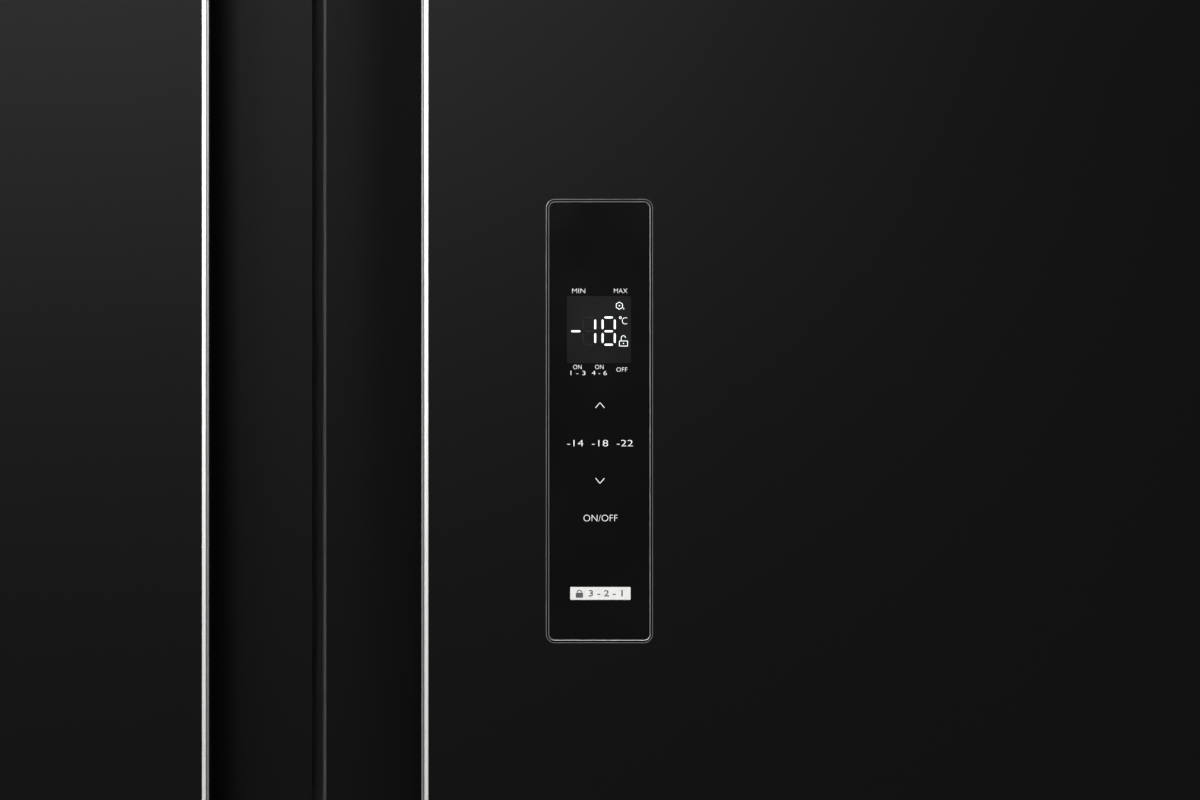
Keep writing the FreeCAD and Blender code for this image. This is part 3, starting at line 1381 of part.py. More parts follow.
def make_compressor():
    """Welded can on a foot plate, with a seam band and a terminal cover."""
    low = PAN_FLOOR + MOUNT_H + FOOT_PLATE_T
    top = low + COMPRESSOR_H
    x = COMPRESSOR_X
    seam = low + COMPRESSOR_H * 0.52
    profile = [
        (x, low),
        (x + COMPRESSOR_R * 0.8, low),
        (x + COMPRESSOR_R, low + COMPRESSOR_R * 0.25, COMPRESSOR_R * 0.15),
        (x + COMPRESSOR_R, seam - SEAM_W / 2),
        (x + COMPRESSOR_R + SEAM_PROUD, seam - SEAM_W / 2),
        (x + COMPRESSOR_R + SEAM_PROUD, seam + SEAM_W / 2),
        (x + COMPRESSOR_R, seam + SEAM_W / 2),
        (x + COMPRESSOR_R, top, COMPRESSOR_R * 0.55),
        (x, top),
    ]
    half_view = Part.Face(outline(profile, "xz", MACHINE_Y))
    can = half_view.revolve(Vector(x, MACHINE_Y, 0), Vector(0, 0, 1), 360)
    wide, deep = FOOT_PLATE
    plate = prism(rect(x - wide, x + wide, MACHINE_Y - deep, MACHINE_Y + deep, FOOT_PLATE_ROUND),
                  "xy", low - FOOT_PLATE_T, low)
    cover = prism(rect(x - COMPRESSOR_R - TERMINAL_PROUD, x - COMPRESSOR_R / 2,
                       MACHINE_Y - TERMINAL_HALF, MACHINE_Y + TERMINAL_HALF, TERMINAL_ROUND),
                  "xy", low + TERMINAL_RISE, seam - TERMINAL_ROUND)
    mounts = []
    for sx in (-1, 1):
        for sy in (-1, 1):
            foot = Vector(x + sx * (wide - MOUNT_INSET), MACHINE_Y + sy * (deep - MOUNT_INSET), PAN_FLOOR)
            mounts.append(rod(MOUNT_R, foot, foot + Vector(0, 0, MOUNT_H)))
    return fused(can, plate, cover), mounts, top


def make_condenser():
    """Two rows of one tube bent to and fro, standing in two punched plates."""
    near = MACHINE_FRONT + CONDENSER_FROM_FRONT
    far = near + CONDENSER_L
    points = []
    for row in range(2):
        x = CONDENSER_X - CONDENSER_ROW * row
        for i in range(CONDENSER_PASSES):
            step = i if row == 0 else CONDENSER_PASSES - 1 - i
            z = CONDENSER_LOW + CONDENSER_PITCH * step
            ends = (near, far) if i % 2 == 0 else (far, near)
            points += [Vector(x, ends[0], z), Vector(x, ends[1], z)]
    tube = bent_tube(points, CONDENSER_PITCH / 2, COIL_R)
    top = CONDENSER_LOW + CONDENSER_PITCH * CONDENSER_PASSES
    x0 = CONDENSER_X - CONDENSER_ROW - 4 * COIL_R
    x1 = CONDENSER_X + 4 * COIL_R
    plates = []
    for y in (near + CONDENSER_PITCH, far - CONDENSER_PITCH - CONDENSER_PLATE_T - ROLLER_R):
        plates.append(box(x0, x1, y, y + CONDENSER_PLATE_T, PAN_FLOOR, top).cut(tube))
    return [tube] + plates, points


def make_fan_frame():
    """Square shroud standing in the base pan, with three arms that carry the motor."""
    half = FAN_R + 4 * FAN_TIP_GAP
    z = PAN_FLOOR + half
    centre = Vector(FAN_X, MACHINE_Y, z)
    plate = prism(rect(MACHINE_Y - half, MACHINE_Y + half, z - half, z + half, 2 * FAN_TIP_GAP),
                  "yz", FAN_X - FAN_FRAME_T / 2, FAN_X + FAN_FRAME_T / 2)
    past = Vector(FAN_FRAME_T, 0, 0)
    plate = plate.cut(rod(FAN_R + FAN_TIP_GAP, centre - past, centre + past))
    face = FAN_X + FAN_FRAME_T / 2
    motor = rod(FAN_MOTOR_R, Vector(face, MACHINE_Y, z), Vector(face + FAN_MOTOR_L, MACHINE_Y, z))
    arms = []
    for i in range(3):
        arm = box(0, FAN_ARM_T, -FAN_ARM_T, FAN_ARM_T, 0, FAN_R + 2 * FAN_TIP_GAP)
        arm.rotate(Vector(0, 0, 0), Vector(1, 0, 0), 120 * i)
        arm.translate(Vector(face, MACHINE_Y, z))
        arms.append(arm)
    bore_end = Vector(face + FAN_MOTOR_L - FAN_ARM_T, MACHINE_Y, z)
    bore = rod(FAN_SHAFT_R + RUN_FIT, Vector(face - 1, MACHINE_Y, z), bore_end)
    return fused(plate, motor, *arms).cut(bore), z


def make_lines(condenser_points, solids_to_clear):
    """Discharge, liquid and suction pipes, with the filter drier in the liquid line."""
    start, end = condenser_points[0], condenser_points[-1]
    level = PAN_FLOOR + MOUNT_H + COMPRESSOR_H * 0.7
    wall = COMPRESSOR_X - COMPRESSOR_R
    discharge = bent_tube([
        Vector(wall + PIPE_BEND, MACHINE_Y, level),
        Vector(wall - 5 * PIPE_BEND, MACHINE_Y, level),
        Vector(wall - 5 * PIPE_BEND, LINE_Y, level),
        Vector(start.x, LINE_Y, level),
        Vector(start.x, LINE_Y, start.z),
        start,
    ], PIPE_BEND, PIPE_R)
    rise = end.z + 3 * PIPE_BEND
    liquid = bent_tube([end, Vector(end.x, LINE_Y, end.z), Vector(end.x, LINE_Y, rise)], PIPE_BEND, PIPE_R)
    drier_top = rise + 10 * DRIER_R
    drier = rod(DRIER_R, Vector(end.x, LINE_Y, rise), Vector(end.x, LINE_Y, drier_top))
    capillary = rod(PIPE_R / 2, Vector(end.x, LINE_Y, drier_top), Vector(end.x, LINE_Y, MACHINE_TOP))
    side = COMPRESSOR_X + COMPRESSOR_R * 0.6
    suction = bent_tube([
        Vector(side, MACHINE_Y - COMPRESSOR_R * 0.6, level),
        Vector(side, LINE_Y, level),
        Vector(side, LINE_Y, MACHINE_TOP),
    ], PIPE_BEND, PIPE_R)
    return [discharge.cut(solids_to_clear), fused(liquid, drier, capillary), suction.cut(solids_to_clear)]


compressor, mounts, compressor_top = make_compressor()
add("compressor", compressor)
add("compressor_mounts", *mounts)

condenser, condenser_points = make_condenser()
add("condenser_coil", *condenser)
add("refrigerant_lines", *make_lines(condenser_points, compressor))

fan_frame, fan_z = make_fan_frame()
add("condenser_fan_frame", fan_frame)
add("condenser_fan", fan_rotor(Vector(FAN_X - FAN_DEPTH, MACHINE_Y, fan_z), Vector(-1, 0, 0),
                               FAN_R, FAN_MOTOR_R * 0.9, FAN_DEPTH, FAN_BLADES,
                               FAN_DEPTH + FAN_MOTOR_L - 2 * FAN_ARM_T))

pan_half = COMPRESSOR_R * 1.25
pan_front = LINE_Y + PIPE_BEND + PIPE_R
pan_back = 2 * MACHINE_Y - pan_front


def drain_plan(inset):
    half = pan_half - inset
    return rect(COMPRESSOR_X - half, COMPRESSOR_X + half, pan_front + inset, pan_back - inset,
                DRAIN_PAN_ROUND - inset)


pan_top = compressor_top + DRAIN_PAN_H
drain_body = taper(drain_plan(4 * DRAIN_PAN_T), drain_plan(0), "xy", compressor_top, pan_top)
drain_hollow = taper(drain_plan(5 * DRAIN_PAN_T), drain_plan(DRAIN_PAN_T), "xy",
                     compressor_top + DRAIN_PAN_T, pan_top + DRAIN_PAN_T)
add("drain_pan", drain_body.cut(drain_hollow))


# Every piece is written by itself

os.makedirs("parts", exist_ok=True)
for name, shape in parts.items():
    shape.exportStep(f"parts/{name}.step")
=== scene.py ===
import json
from math import radians

import bpy
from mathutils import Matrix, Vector

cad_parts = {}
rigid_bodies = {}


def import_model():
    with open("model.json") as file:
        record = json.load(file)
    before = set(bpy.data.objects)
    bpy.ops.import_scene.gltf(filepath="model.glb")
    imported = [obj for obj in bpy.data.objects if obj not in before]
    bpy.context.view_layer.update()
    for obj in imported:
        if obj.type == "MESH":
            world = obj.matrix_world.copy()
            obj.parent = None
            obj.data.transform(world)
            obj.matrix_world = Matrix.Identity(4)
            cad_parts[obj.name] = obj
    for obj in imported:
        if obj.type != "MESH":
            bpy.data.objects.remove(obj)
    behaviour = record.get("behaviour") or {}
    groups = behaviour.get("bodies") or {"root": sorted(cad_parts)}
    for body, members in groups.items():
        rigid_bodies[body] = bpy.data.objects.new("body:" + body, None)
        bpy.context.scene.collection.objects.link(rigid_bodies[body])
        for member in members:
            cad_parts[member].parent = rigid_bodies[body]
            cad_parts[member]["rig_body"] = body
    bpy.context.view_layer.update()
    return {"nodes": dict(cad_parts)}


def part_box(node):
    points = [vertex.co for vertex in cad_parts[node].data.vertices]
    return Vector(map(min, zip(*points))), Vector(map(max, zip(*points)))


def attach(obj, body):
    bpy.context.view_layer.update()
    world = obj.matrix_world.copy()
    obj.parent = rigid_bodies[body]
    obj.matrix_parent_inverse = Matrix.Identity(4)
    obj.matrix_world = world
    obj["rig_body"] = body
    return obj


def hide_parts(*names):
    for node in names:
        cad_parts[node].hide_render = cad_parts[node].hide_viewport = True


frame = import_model()


# Outer wrapper: the steel shell of the cabinet, one sheet folded into both sides and the
# top. It is coated dark grey on the coil before it is folded, so its face has a fine
# orange peel. The foam that sets behind it holds it.
class Sock:
    """One output socket of a finish. Sums and comparisons on it add Math nodes to its tree."""

    def __init__(self, out):
        self.out = out

    def node(self, kind, settings=(), links=(), give=0):
        """A new node of that kind with its settings and its links or values: its output number give."""
        made = self.out.id_data.nodes.new(kind)
        for name, value in dict(settings).items():
            if name == "stops":
                ramp = made.color_ramp
                while len(ramp.elements) < len(value):
                    ramp.elements.new(0.5)
                for stop, (place, shade) in zip(ramp.elements, value):
                    stop.position = place
                    stop.color = (*shade, 1)
            else:
                setattr(made, name, value)
        for name, value in dict(links).items():
            if isinstance(value, Sock):
                self.out.id_data.links.new(value.out, made.inputs[name])
            else:
                made.inputs[name].default_value = value
        return Sock(made.outputs[give])

    def maths(self, operation, first, second=0.0):
        return self.node("ShaderNodeMath", {"operation": operation}, {0: first, 1: second})

    def __add__(self, other):
        return self.maths("ADD", self, other)

    def __sub__(self, other):
        return self.maths("SUBTRACT", self, other)

    def __rsub__(self, other):
        return self.maths("SUBTRACT", other, self)

    def __mul__(self, other):
        return self.maths("MULTIPLY", self, other)

    __radd__ = __add__
    __rmul__ = __mul__

    def __gt__(self, other):
        return self.maths("GREATER_THAN", self, other)

    def __lt__(self, other):
        return self.maths("LESS_THAN", self, other)

    def __abs__(self):
        return self.maths("ABSOLUTE", self)

    def grain(self, scale, detail=2.0, rough=0.5):
        """Noise over this place, with scale spots to a metre."""
        return self.node("ShaderNodeTexNoise", {}, {
            "Vector": self, "Scale": scale, "Detail": detail, "Roughness": rough})

    def shades(self, low, high, start=0.3, end=0.7):
        """A colour from low, at the value start, to high, at the value end."""
        return self.node("ShaderNodeValToRGB", {"stops": [(start, low), (end, high)]}, {"Fac": self})

    def relief(self, strength, depth):
        """Bumps of that depth in metres."""
        return self.node("ShaderNodeBump", {}, {"Height": self, "Strength": strength, "Distance": depth})


def finish(name, **fixed):
    """A new material: returns it, its place on the piece, and a way to feed its shader."""
    material = bpy.data.materials.new(name)
    material.use_nodes = True
    tree = material.node_tree
    shader = tree.nodes["Principled BSDF"]
    for socket, value in fixed.items():
        shader.inputs[socket.replace("_", " ")].default_value = value
    place = Sock(tree.nodes.new("ShaderNodeTexCoord").outputs["Object"])

    def feed(socket, source):
        tree.links.new(source.out, shader.inputs[socket])

    return material, place, feed


def dress(node, material, round_under=32, edge=0.0, edge_finish=None):
    """A copy of a CAD solid, its triangles joined and its round faces shaded smooth.

    Faces that meet under round_under degrees look round. A width in edge rounds the sharp edges off.
    """
    weld_under, flat_under, sharp_over, edge_steps = 0.000004, 1, 50, 3
    source = frame["nodes"][node]
    bpy.ops.object.select_all(action="DESELECT")
    piece = bpy.data.objects.new("dressed_" + node, source.data.copy())
    bpy.context.scene.collection.objects.link(piece)
    piece.data.materials.clear()
    piece.data.materials.append(material)
    piece.data.polygons.foreach_set("material_index", [0] * len(piece.data.polygons))
    bpy.context.view_layer.objects.active = piece
    piece.select_set(True)
    bpy.ops.mesh.customdata_custom_splitnormals_clear()
    bpy.ops.object.mode_set(mode="EDIT")
    bpy.ops.mesh.select_all(action="SELECT")
    bpy.ops.mesh.remove_doubles(threshold=weld_under)
    if edge:
        bpy.ops.mesh.dissolve_limited(angle_limit=radians(flat_under))
    bpy.ops.object.mode_set(mode="OBJECT")
    if edge:
        soften = piece.modifiers.new("soften", "BEVEL")
        soften.width = edge
        soften.segments = edge_steps
        soften.limit_method = "ANGLE"
        soften.angle_limit = radians(sharp_over)
        if edge_finish:
            piece.data.materials.append(edge_finish)
            soften.material = 1
        bpy.ops.object.modifier_apply(modifier="soften")
    bpy.ops.object.shade_smooth_by_angle(angle=radians(round_under))
    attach(piece, source["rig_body"])
    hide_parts(node)
    return piece


coat_grey = (0.021, 0.021, 0.022), (0.027, 0.027, 0.028)
paint, at, feed = finish("cabinet_paint", Specular_IOR_Level=0.3)
peel, cloud = at.grain(1500, 1.0), at.grain(9, 3.0)
feed("Base Color", cloud.shades(*coat_grey))
feed("Roughness", 0.43 + 0.1 * cloud)
feed("Normal", peel.relief(0.16, 0.0002))
dress("outer_wrapper", paint)

# Rear panel, lower rear grille and base pan: the sheets that only the wall and the floor
# see. They are hot dipped steel with a fine spangle, pressed with ribs or punched with
# slots, left unpainted and screwed to the wrapper's flanges.
zinc_grey = (0.40, 0.41, 0.42), (0.49, 0.50, 0.51)
zinced, at, feed = finish("galvanised_sheet", Metallic=0.85, Specular_IOR_Level=0.5)
spangle = at.node("ShaderNodeTexVoronoi", {"feature": "F1"}, {"Vector": at, "Scale": 95.0}, 1)
flake = spangle.node("ShaderNodeSeparateColor", {}, {"Color": spangle})
stain = at.grain(5, 4.0)
feed("Base Color", (flake * 0.4 + stain * 0.6).shades(*zinc_grey, 0.2, 0.8))
feed("Roughness", 0.34 + 0.16 * flake + 0.08 * stain)
feed("Normal", stain.relief(0.12, 0.002))
rib_round = 14
for node in ("rear_panel", "base_pan", "rear_grille"):
    dress(node, zinced, rib_round)

# Liners and mullion strip: the white insides. Each compartment is vacuum formed from one
# sheet, with its corners, shelf ledges and drawer rails drawn in the same pull. The strip
# between the doors covers the edges of both liners, and both gaskets close on it.
sheet_white = (0.74, 0.75, 0.75), (0.79, 0.80, 0.80)
white, at, feed = finish("white_sheet", Specular_IOR_Level=0.45)
pull, skin = at.grain(7, 3.0), at.grain(650, 1.0)
feed("Base Color", pull.shades(*sheet_white))
feed("Roughness", 0.26 + 0.12 * pull)
feed("Normal", skin.relief(0.07, 0.0003))
for node in ("freezer_liner", "fridge_liner", "mullion_strip"):
    dress(node, white)

# Foam: the insulation of the cabinet and of both doors. Polyurethane is poured between
# skin and liner, rises into every corner and sets there, which bonds them. It is closed
# in on every side, and shows only as a pale line behind the edge of a sheet.
foam_cream = (0.62, 0.50, 0.24), (0.76, 0.64, 0.36)
foam, at, feed = finish("poured_foam", Roughness=0.95)
cells = at.grain(420, 4.0, 0.7)
feed("Base Color", cells.shades(*foam_cream))
feed("Normal", cells.relief(0.7, 0.0015))
for node in ("cabinet_insulation", "freezer_door_foam", "fridge_door_foam"):
    dress(node, foam)

# Toe grille, rear spacers and cord gland: the small black fittings round the cabinet,
# moulded in polypropylene with the fine spark grain of the mould. The grille clips on
# under the doors, and the spacers and the gland snap into holes in the back.
moulding_black = (0.012, 0.012, 0.013), (0.019, 0.019, 0.020)
black, at, feed = finish("black_moulding", Specular_IOR_Level=0.35)
spark, rub = at.grain(2600, 2.0, 0.7), at.grain(14, 4.0)
feed("Base Color", rub.shades(*moulding_black))
feed("Roughness", 0.46 + 0.12 * rub)
feed("Normal", spark.relief(0.25, 0.0002))
for node in ("toe_grille", "rear_spacers", "cord_gland"):
    dress(node, black)

# Compressor and condenser: the hot end of the cooling circuit, in the machine room at the
# bottom of the back. The can is two deep drawn halves welded round the waist, and the
# condenser is one steel tube bent to and fro in two plates. Both are stoved black.
enamel_black = (0.010, 0.010, 0.011), (0.018, 0.018, 0.019)
enamel, at, feed = finish("stoved_enamel", Specular_IOR_Level=0.5)
drip = at.grain(60, 3.0)
feed("Base Color", drip.shades(*enamel_black))
feed("Roughness", 0.28 + 0.18 * drip)
feed("Normal", drip.relief(0.18, 0.0006))
dress("compressor", enamel)
dress("condenser_coil", enamel)

# Compressor mounts: four bushes that keep the can's hum out of the base pan. They are
# moulded rubber with a grey bloom, and sit on studs under the can's foot plate.
rubber_black = (0.014, 0.014, 0.014), (0.035, 0.034, 0.033)
rubber, at, feed = finish("mount_rubber", Specular_IOR_Level=0.3)
bloom = at.grain(90, 4.0)
feed("Base Color", bloom.shades(*rubber_black))
feed("Roughness", 0.68 + 0.18 * bloom)
dress("compressor_mounts", rubber)

# Refrigerant lines: the discharge, liquid and suction pipes between can, condenser and
# evaporator. They are drawn copper, brazed at the joints, bright at first and browned in
# patches since.
copper_tones = (0.30, 0.13, 0.075), (0.72, 0.36, 0.22)
copper, at, feed = finish("drawn_copper", Metallic=1.0)
tarnish = at.grain(38, 5.0, 0.6)
feed("Base Color", tarnish.shades(*copper_tones))
feed("Roughness", 0.46 - 0.2 * tarnish)
dress("refrigerant_lines", copper)

# Condenser fan, its frame and the drain pan: the other fittings of the machine room, in
# the same black polypropylene. The frame stands in the base pan and carries the bladed
# fan on three arms, and the pan catches the water of each defrosting.
for node in ("condenser_fan_frame", "condenser_fan", "drain_pan"):
    dress(node, black)

# Evaporator: the cold coil behind the freezer's rear cover. It is one aluminium tube bent
# to and fro between two end plates on the back wall, dull from frost and thaw.
fin_grey = (0.55, 0.56, 0.57), (0.74, 0.75, 0.76)
fins, at, feed = finish("fin_aluminium", Metallic=0.95)
dull = at.grain(70, 4.0)
feed("Base Color", dull.shades(*fin_grey))
feed("Roughness", 0.34 + 0.2 * dull)
dress("evaporator_coil", fins)

# Evaporator cover and air duct: the white panels on the back walls that lead the cold air.
# Both are moulded in the liners' white, the cover with a fan grille and a return slot,
# the duct with pairs of outlets, and clip to the wall behind them.
for node in ("evaporator_cover", "fridge_air_duct"):
    dress(node, white)

# Evaporator fan and motor: they blow the cold air through the cover's grille. The fan is
# pale blue plastic, pressed on the shaft of a black motor that a bracket with three arms
# holds to the back wall.
ice_blue = (0.50, 0.60, 0.68), (0.60, 0.69, 0.76)
ice, at, feed = finish("ice_tray_plastic", Specular_IOR_Level=0.45)
frost = at.grain(120, 4.0)
feed("Base Color", frost.shades(*ice_blue))
feed("Roughness", 0.3 + 0.2 * frost)
dress("evaporator_fan", ice)
dress("evaporator_fan_motor", black)

# Shelves: panes of tempered float glass on the liners' rails. They are clear seen square
# on, and show the green of the glass where the eye meets them at a low angle.
glass_green = (0.60, 0.80, 0.74), (0.68, 0.85, 0.80)
glass, at, feed = finish("shelf_glass", Roughness=0.03, IOR=1.5, Specular_IOR_Level=0.5)
smear = at.grain(11, 4.0)
facing = at.node("ShaderNodeLayerWeight", {}, {"Blend": 0.28}, 1)
feed("Base Color", smear.shades(*glass_green))
feed("Alpha", 0.08 + 0.46 * facing + 0.04 * smear)
dress("shelf_glass", glass)

# Shelf trims: the edgings along the front and rear of each pane, which keep spills on it.
# They are extruded with a satin silver face, drawn along their length, and pushed on.
silver = (0.58, 0.59, 0.60), (0.68, 0.69, 0.70)
along_x = 6.0, 700.0, 700.0
edging, at, feed = finish("shelf_edging", Metallic=0.75)
drawn = at.node("ShaderNodeMapping", {}, {"Vector": at, "Scale": along_x}).grain(1.0, 2.0)
feed("Base Color", drawn.shades(*silver))
feed("Roughness", 0.28 + 0.16 * drawn)
dress("shelf_trims", edging)

# Interior lamps: a long light in the ceiling of each compartment, behind the door edge.
# A ribbed diffuser of milky acrylic is snapped over a row of white diodes.
diffuser_white = (0.74, 0.76, 0.78), (0.86, 0.87, 0.88)
diode_white = (0.70, 0.76, 0.80), (0.98, 0.99, 1.0)
lamp, at, feed = finish("lamp_diffuser", Roughness=0.35, Emission_Strength=1.1)
ribs = at.node("ShaderNodeTexWave", {"wave_type": "BANDS", "bands_direction": "X"}, {
    "Vector": at, "Scale": 60.0, "Distortion": 0.0})
feed("Base Color", ribs.shades(*diffuser_white, 0.1, 0.9))
feed("Emission Color", ribs.shades(*diode_white, 0.0, 0.8))
feed("Normal", ribs.relief(0.4, 0.001))
dress("interior_lamps", lamp)

# Drawers and door bins: clear styrene, each shot in one piece with a thick rim and a cool
# cast where a wall is seen edge on. The drawers hang by their flanges on the liners'
# rails, and the bins sit on bosses of the door liners.
styrene_cast = (0.76, 0.85, 0.89), (0.83, 0.90, 0.93)
clear, at, feed = finish("clear_styrene", Roughness=0.07, IOR=1.55, Specular_IOR_Level=0.5)
flow = at.grain(6, 3.0)
facing = at.node("ShaderNodeLayerWeight", {}, {"Blend": 0.35}, 1)
feed("Base Color", flow.shades(*styrene_cast))
feed("Alpha", 0.09 + 0.5 * facing + 0.05 * flow)
feed("Normal", flow.relief(0.05, 0.002))
for node in ("crisper_upper", "crisper_lower", "freezer_drawer_upper", "freezer_drawer_lower",
             "freezer_door_bins", "fridge_door_bins"):
    dress(node, clear)

# Ice maker: a white frame with a drive box, screwed under the freezer's ceiling, and the
# cube tray that twists between its ends. The tray is a pale plastic that stays flexible
# in the cold.
dress("ice_tray", ice)
dress("ice_maker_frame", white)

# Hinges: a cranked plate on the cabinet top and an angle bracket below for each door, both
# with a pin. They are pressed steel, zinc plated with a faint yellow pass, and held by
# hexagon screws.
plate_tones = (0.50, 0.49, 0.45), (0.64, 0.63, 0.60)
plated, at, feed = finish("zinc_plate", Metallic=1.0)
pass_tint = at.grain(45, 3.0)
feed("Base Color", pass_tint.shades(*plate_tones))
feed("Roughness", 0.26 + 0.2 * pass_tint)
for node in ("top_hinges", "bottom_hinges", "hinge_screws"):
    dress(node, plated)

# Hinge covers: caps over the top hinges, black polypropylene like the other fittings,
# moulded open underneath and held by one screw each.
dress("hinge_covers", black)


# Rear screws: the pan heads that hold the rear panel and the lower grille, in a row up
# each side and across the top and the joint. They are zinc plated steel with a dished
# drive. One is modelled, and copied to each place.
def pan_head(radius):
    """One dished pan head that stands on the origin and faces up."""
    sides, rim_high, faces_up, round_under = 20, 0.0008, 0.9, 40
    crown = ((0.16, 0.0006), (0.14, 0.0014), (0.16, 0.0005), (0.24, -0.0014))
    bpy.ops.object.select_all(action="DESELECT")
    bpy.ops.mesh.primitive_cylinder_add(
        vertices=sides, radius=radius, depth=rim_high, location=(0, 0, rim_high / 2))
    head = bpy.context.active_object
    bpy.ops.object.transform_apply(location=True, rotation=True, scale=True)
    bpy.ops.object.mode_set(mode="EDIT")
    bpy.ops.mesh.select_all(action="DESELECT")
    bpy.ops.object.mode_set(mode="OBJECT")
    for face in head.data.polygons:
        face.select = face.normal.z > faces_up
    bpy.ops.object.mode_set(mode="EDIT")
    for margin, rise in crown:
        bpy.ops.mesh.inset(thickness=margin * radius)
        bpy.ops.transform.translate(value=(0, 0, rise))
    bpy.ops.object.mode_set(mode="OBJECT")
    bpy.ops.object.shade_smooth_by_angle(angle=radians(round_under))
    return head


def join_pieces(name, pieces, material):
    """The pieces as one, under one name and in one finish."""
    bpy.ops.object.select_all(action="DESELECT")
    for piece in pieces:
        piece.select_set(True)
    bpy.context.view_layer.objects.active = pieces[0]
    bpy.ops.object.transform_apply(location=True, rotation=True, scale=True)
    bpy.ops.object.join()
    joined = bpy.context.active_object
    joined.name = name
    joined.data.materials.clear()
    joined.data.materials.append(material)
    return joined


def drive_screws(name, head, out, places):
    """A head and its copies, one at each place, facing out from the cabinet."""
    heads = [head]
    for _ in places[1:]:
        bpy.ops.object.select_all(action="DESELECT")
        head.select_set(True)
        bpy.context.view_layer.objects.active = head
        bpy.ops.object.duplicate(linked=False)
        heads.append(bpy.context.active_object)
    for each, place in zip(heads, places):
        each.location = place
        each.rotation_euler = Vector(out).to_track_quat("Z", "Y").to_euler()
    screws = join_pieces(name, heads, plated)
    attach(screws, "cabinet")


panel_low, panel_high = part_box("rear_panel")
grille_low, grille_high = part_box("rear_grille")
back_face = grille_high.y
edge_x = grille_high.x - 0.012
first_z, climb = panel_low.z + 0.03, panel_high.z - panel_low.z - 0.05
top_row, joint_row, foot_row = panel_high.z - 0.016, grille_high.z - 0.012, grille_low.z + 0.02
spaces = 6
places = []
for step in range(spaces + 1):
    places += [(side * edge_x, back_face, first_z + step * climb / spaces) for side in (-1, 1)]
for step in range(1, spaces):
    along = -edge_x + step * 2 * edge_x / spaces
    places += [(along, back_face, row) for row in (top_row, joint_row)]
for side in (-1, 1):
    places += [(side * edge_x, back_face, row) for row in (foot_row, joint_row)]
rear_head = 0.0048
drive_screws("rear_screws", pan_head(rear_head), (0, 1, 0), places)

# Hinge cover screws: one smaller pan head in the top of each cover, sunk into it by the
# height of its rim, through to the hinge plate below.
cover_head = 0.0042
cover_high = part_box("hinge_covers")[1]
in_from_side, in_from_back, sunk = 0.038, 0.03, 0.0022
drive_screws("hinge_cover_screws", pan_head(cover_head), (0, 0, 1), [
    (side * (cover_high.x - in_from_side), cover_high.y - in_from_back, cover_high.z - sunk)
    for side in (-1, 1)])

# Feet and rollers: what the cabinet stands on. The two front feet are dished discs on
# threaded stems, the two rollers behind turn on stub axles in the base pan's ears, and
# all are grey nylon, scuffed by the floor.
nylon_grey = (0.060, 0.060, 0.062), (0.105, 0.104, 0.102)
nylon, at, feed = finish("wheel_nylon", Specular_IOR_Level=0.4)
scuff = at.grain(180, 4.0, 0.65)
feed("Base Color", scuff.shades(*nylon_grey))
feed("Roughness", 0.42 + 0.25 * scuff)
feed("Normal", scuff.relief(0.2, 0.0004))
for node in ("foot_left", "foot_right", "roller_left", "roller_right"):
    dress(node, nylon)

# Door skins: the fronts of both doors, folded from steel sheet with a rounded hinge edge
# and a return behind. The sheet carries a smooth satin black film, with no brush marks.
film_black = (0.0008, 0.0008, 0.0008), (0.0012, 0.0012, 0.0012)
satin, at, feed = finish("door_black", Specular_IOR_Level=0.085)
film, drift = at.grain(1100, 1.0), at.grain(2.2, 2.0)
feed("Base Color", drift.shades(*film_black))
feed("Roughness", 0.33 + 0.05 * drift)
feed("Normal", film.relief(0.05, 0.0001))
for node in ("freezer_door_skin", "fridge_door_skin"):
    dress(node, satin)

# Door end caps: they close each skin at its top and bottom while the foam is poured, and
# hold the bores that the hinge pins turn in. They are moulded in black polypropylene.
for node in ("freezer_door_caps", "fridge_door_caps"):
    dress(node, black)

# Door liners: the inner faces of the doors, white sheet formed with a raised frame and
# bosses for the bins. The sheet's outer edge faces are coloured black as painted shade in
# the gap, so that no pale line shows round a shut door.
edge_deep, edge_tilt = 0.0004, 0.3
for node in ("freezer_door_liner", "fridge_door_liner"):
    piece = dress(node, white)
    piece.data.materials.append(black)
    low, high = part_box(node)
    # Painted shade: the liner's outer edge faces, in the gap round a shut door, are made black.
    for face in piece.data.polygons:
        at_side = min(face.center.x - low.x, high.x - face.center.x) < edge_deep
        at_end = min(face.center.z - low.z, high.z - face.center.z) < edge_deep
        if (at_side or at_end) and abs(face.normal.y) < edge_tilt:
            face.material_index = 1

# Handle channels: the hand recess behind each lip, as tall as the door. It is moulded in
# one length with the door's edge wall, matt so that fingers don't mark it, and slides in
# behind the lip of the skin.
channel_black = (0.0006, 0.0006, 0.0006), (0.0010, 0.0010, 0.0010)
scoop, at, feed = finish("handle_channel", Specular_IOR_Level=0.075)
matt = at.grain(2200, 2.0)
feed("Base Color", at.grain(4, 2.0).shades(*channel_black))
feed("Roughness", 0.36 + 0.06 * matt)
feed("Normal", matt.relief(0.12, 0.0001))
for node in ("freezer_handle_channel", "fridge_handle_channel"):
    dress(node, scoop)
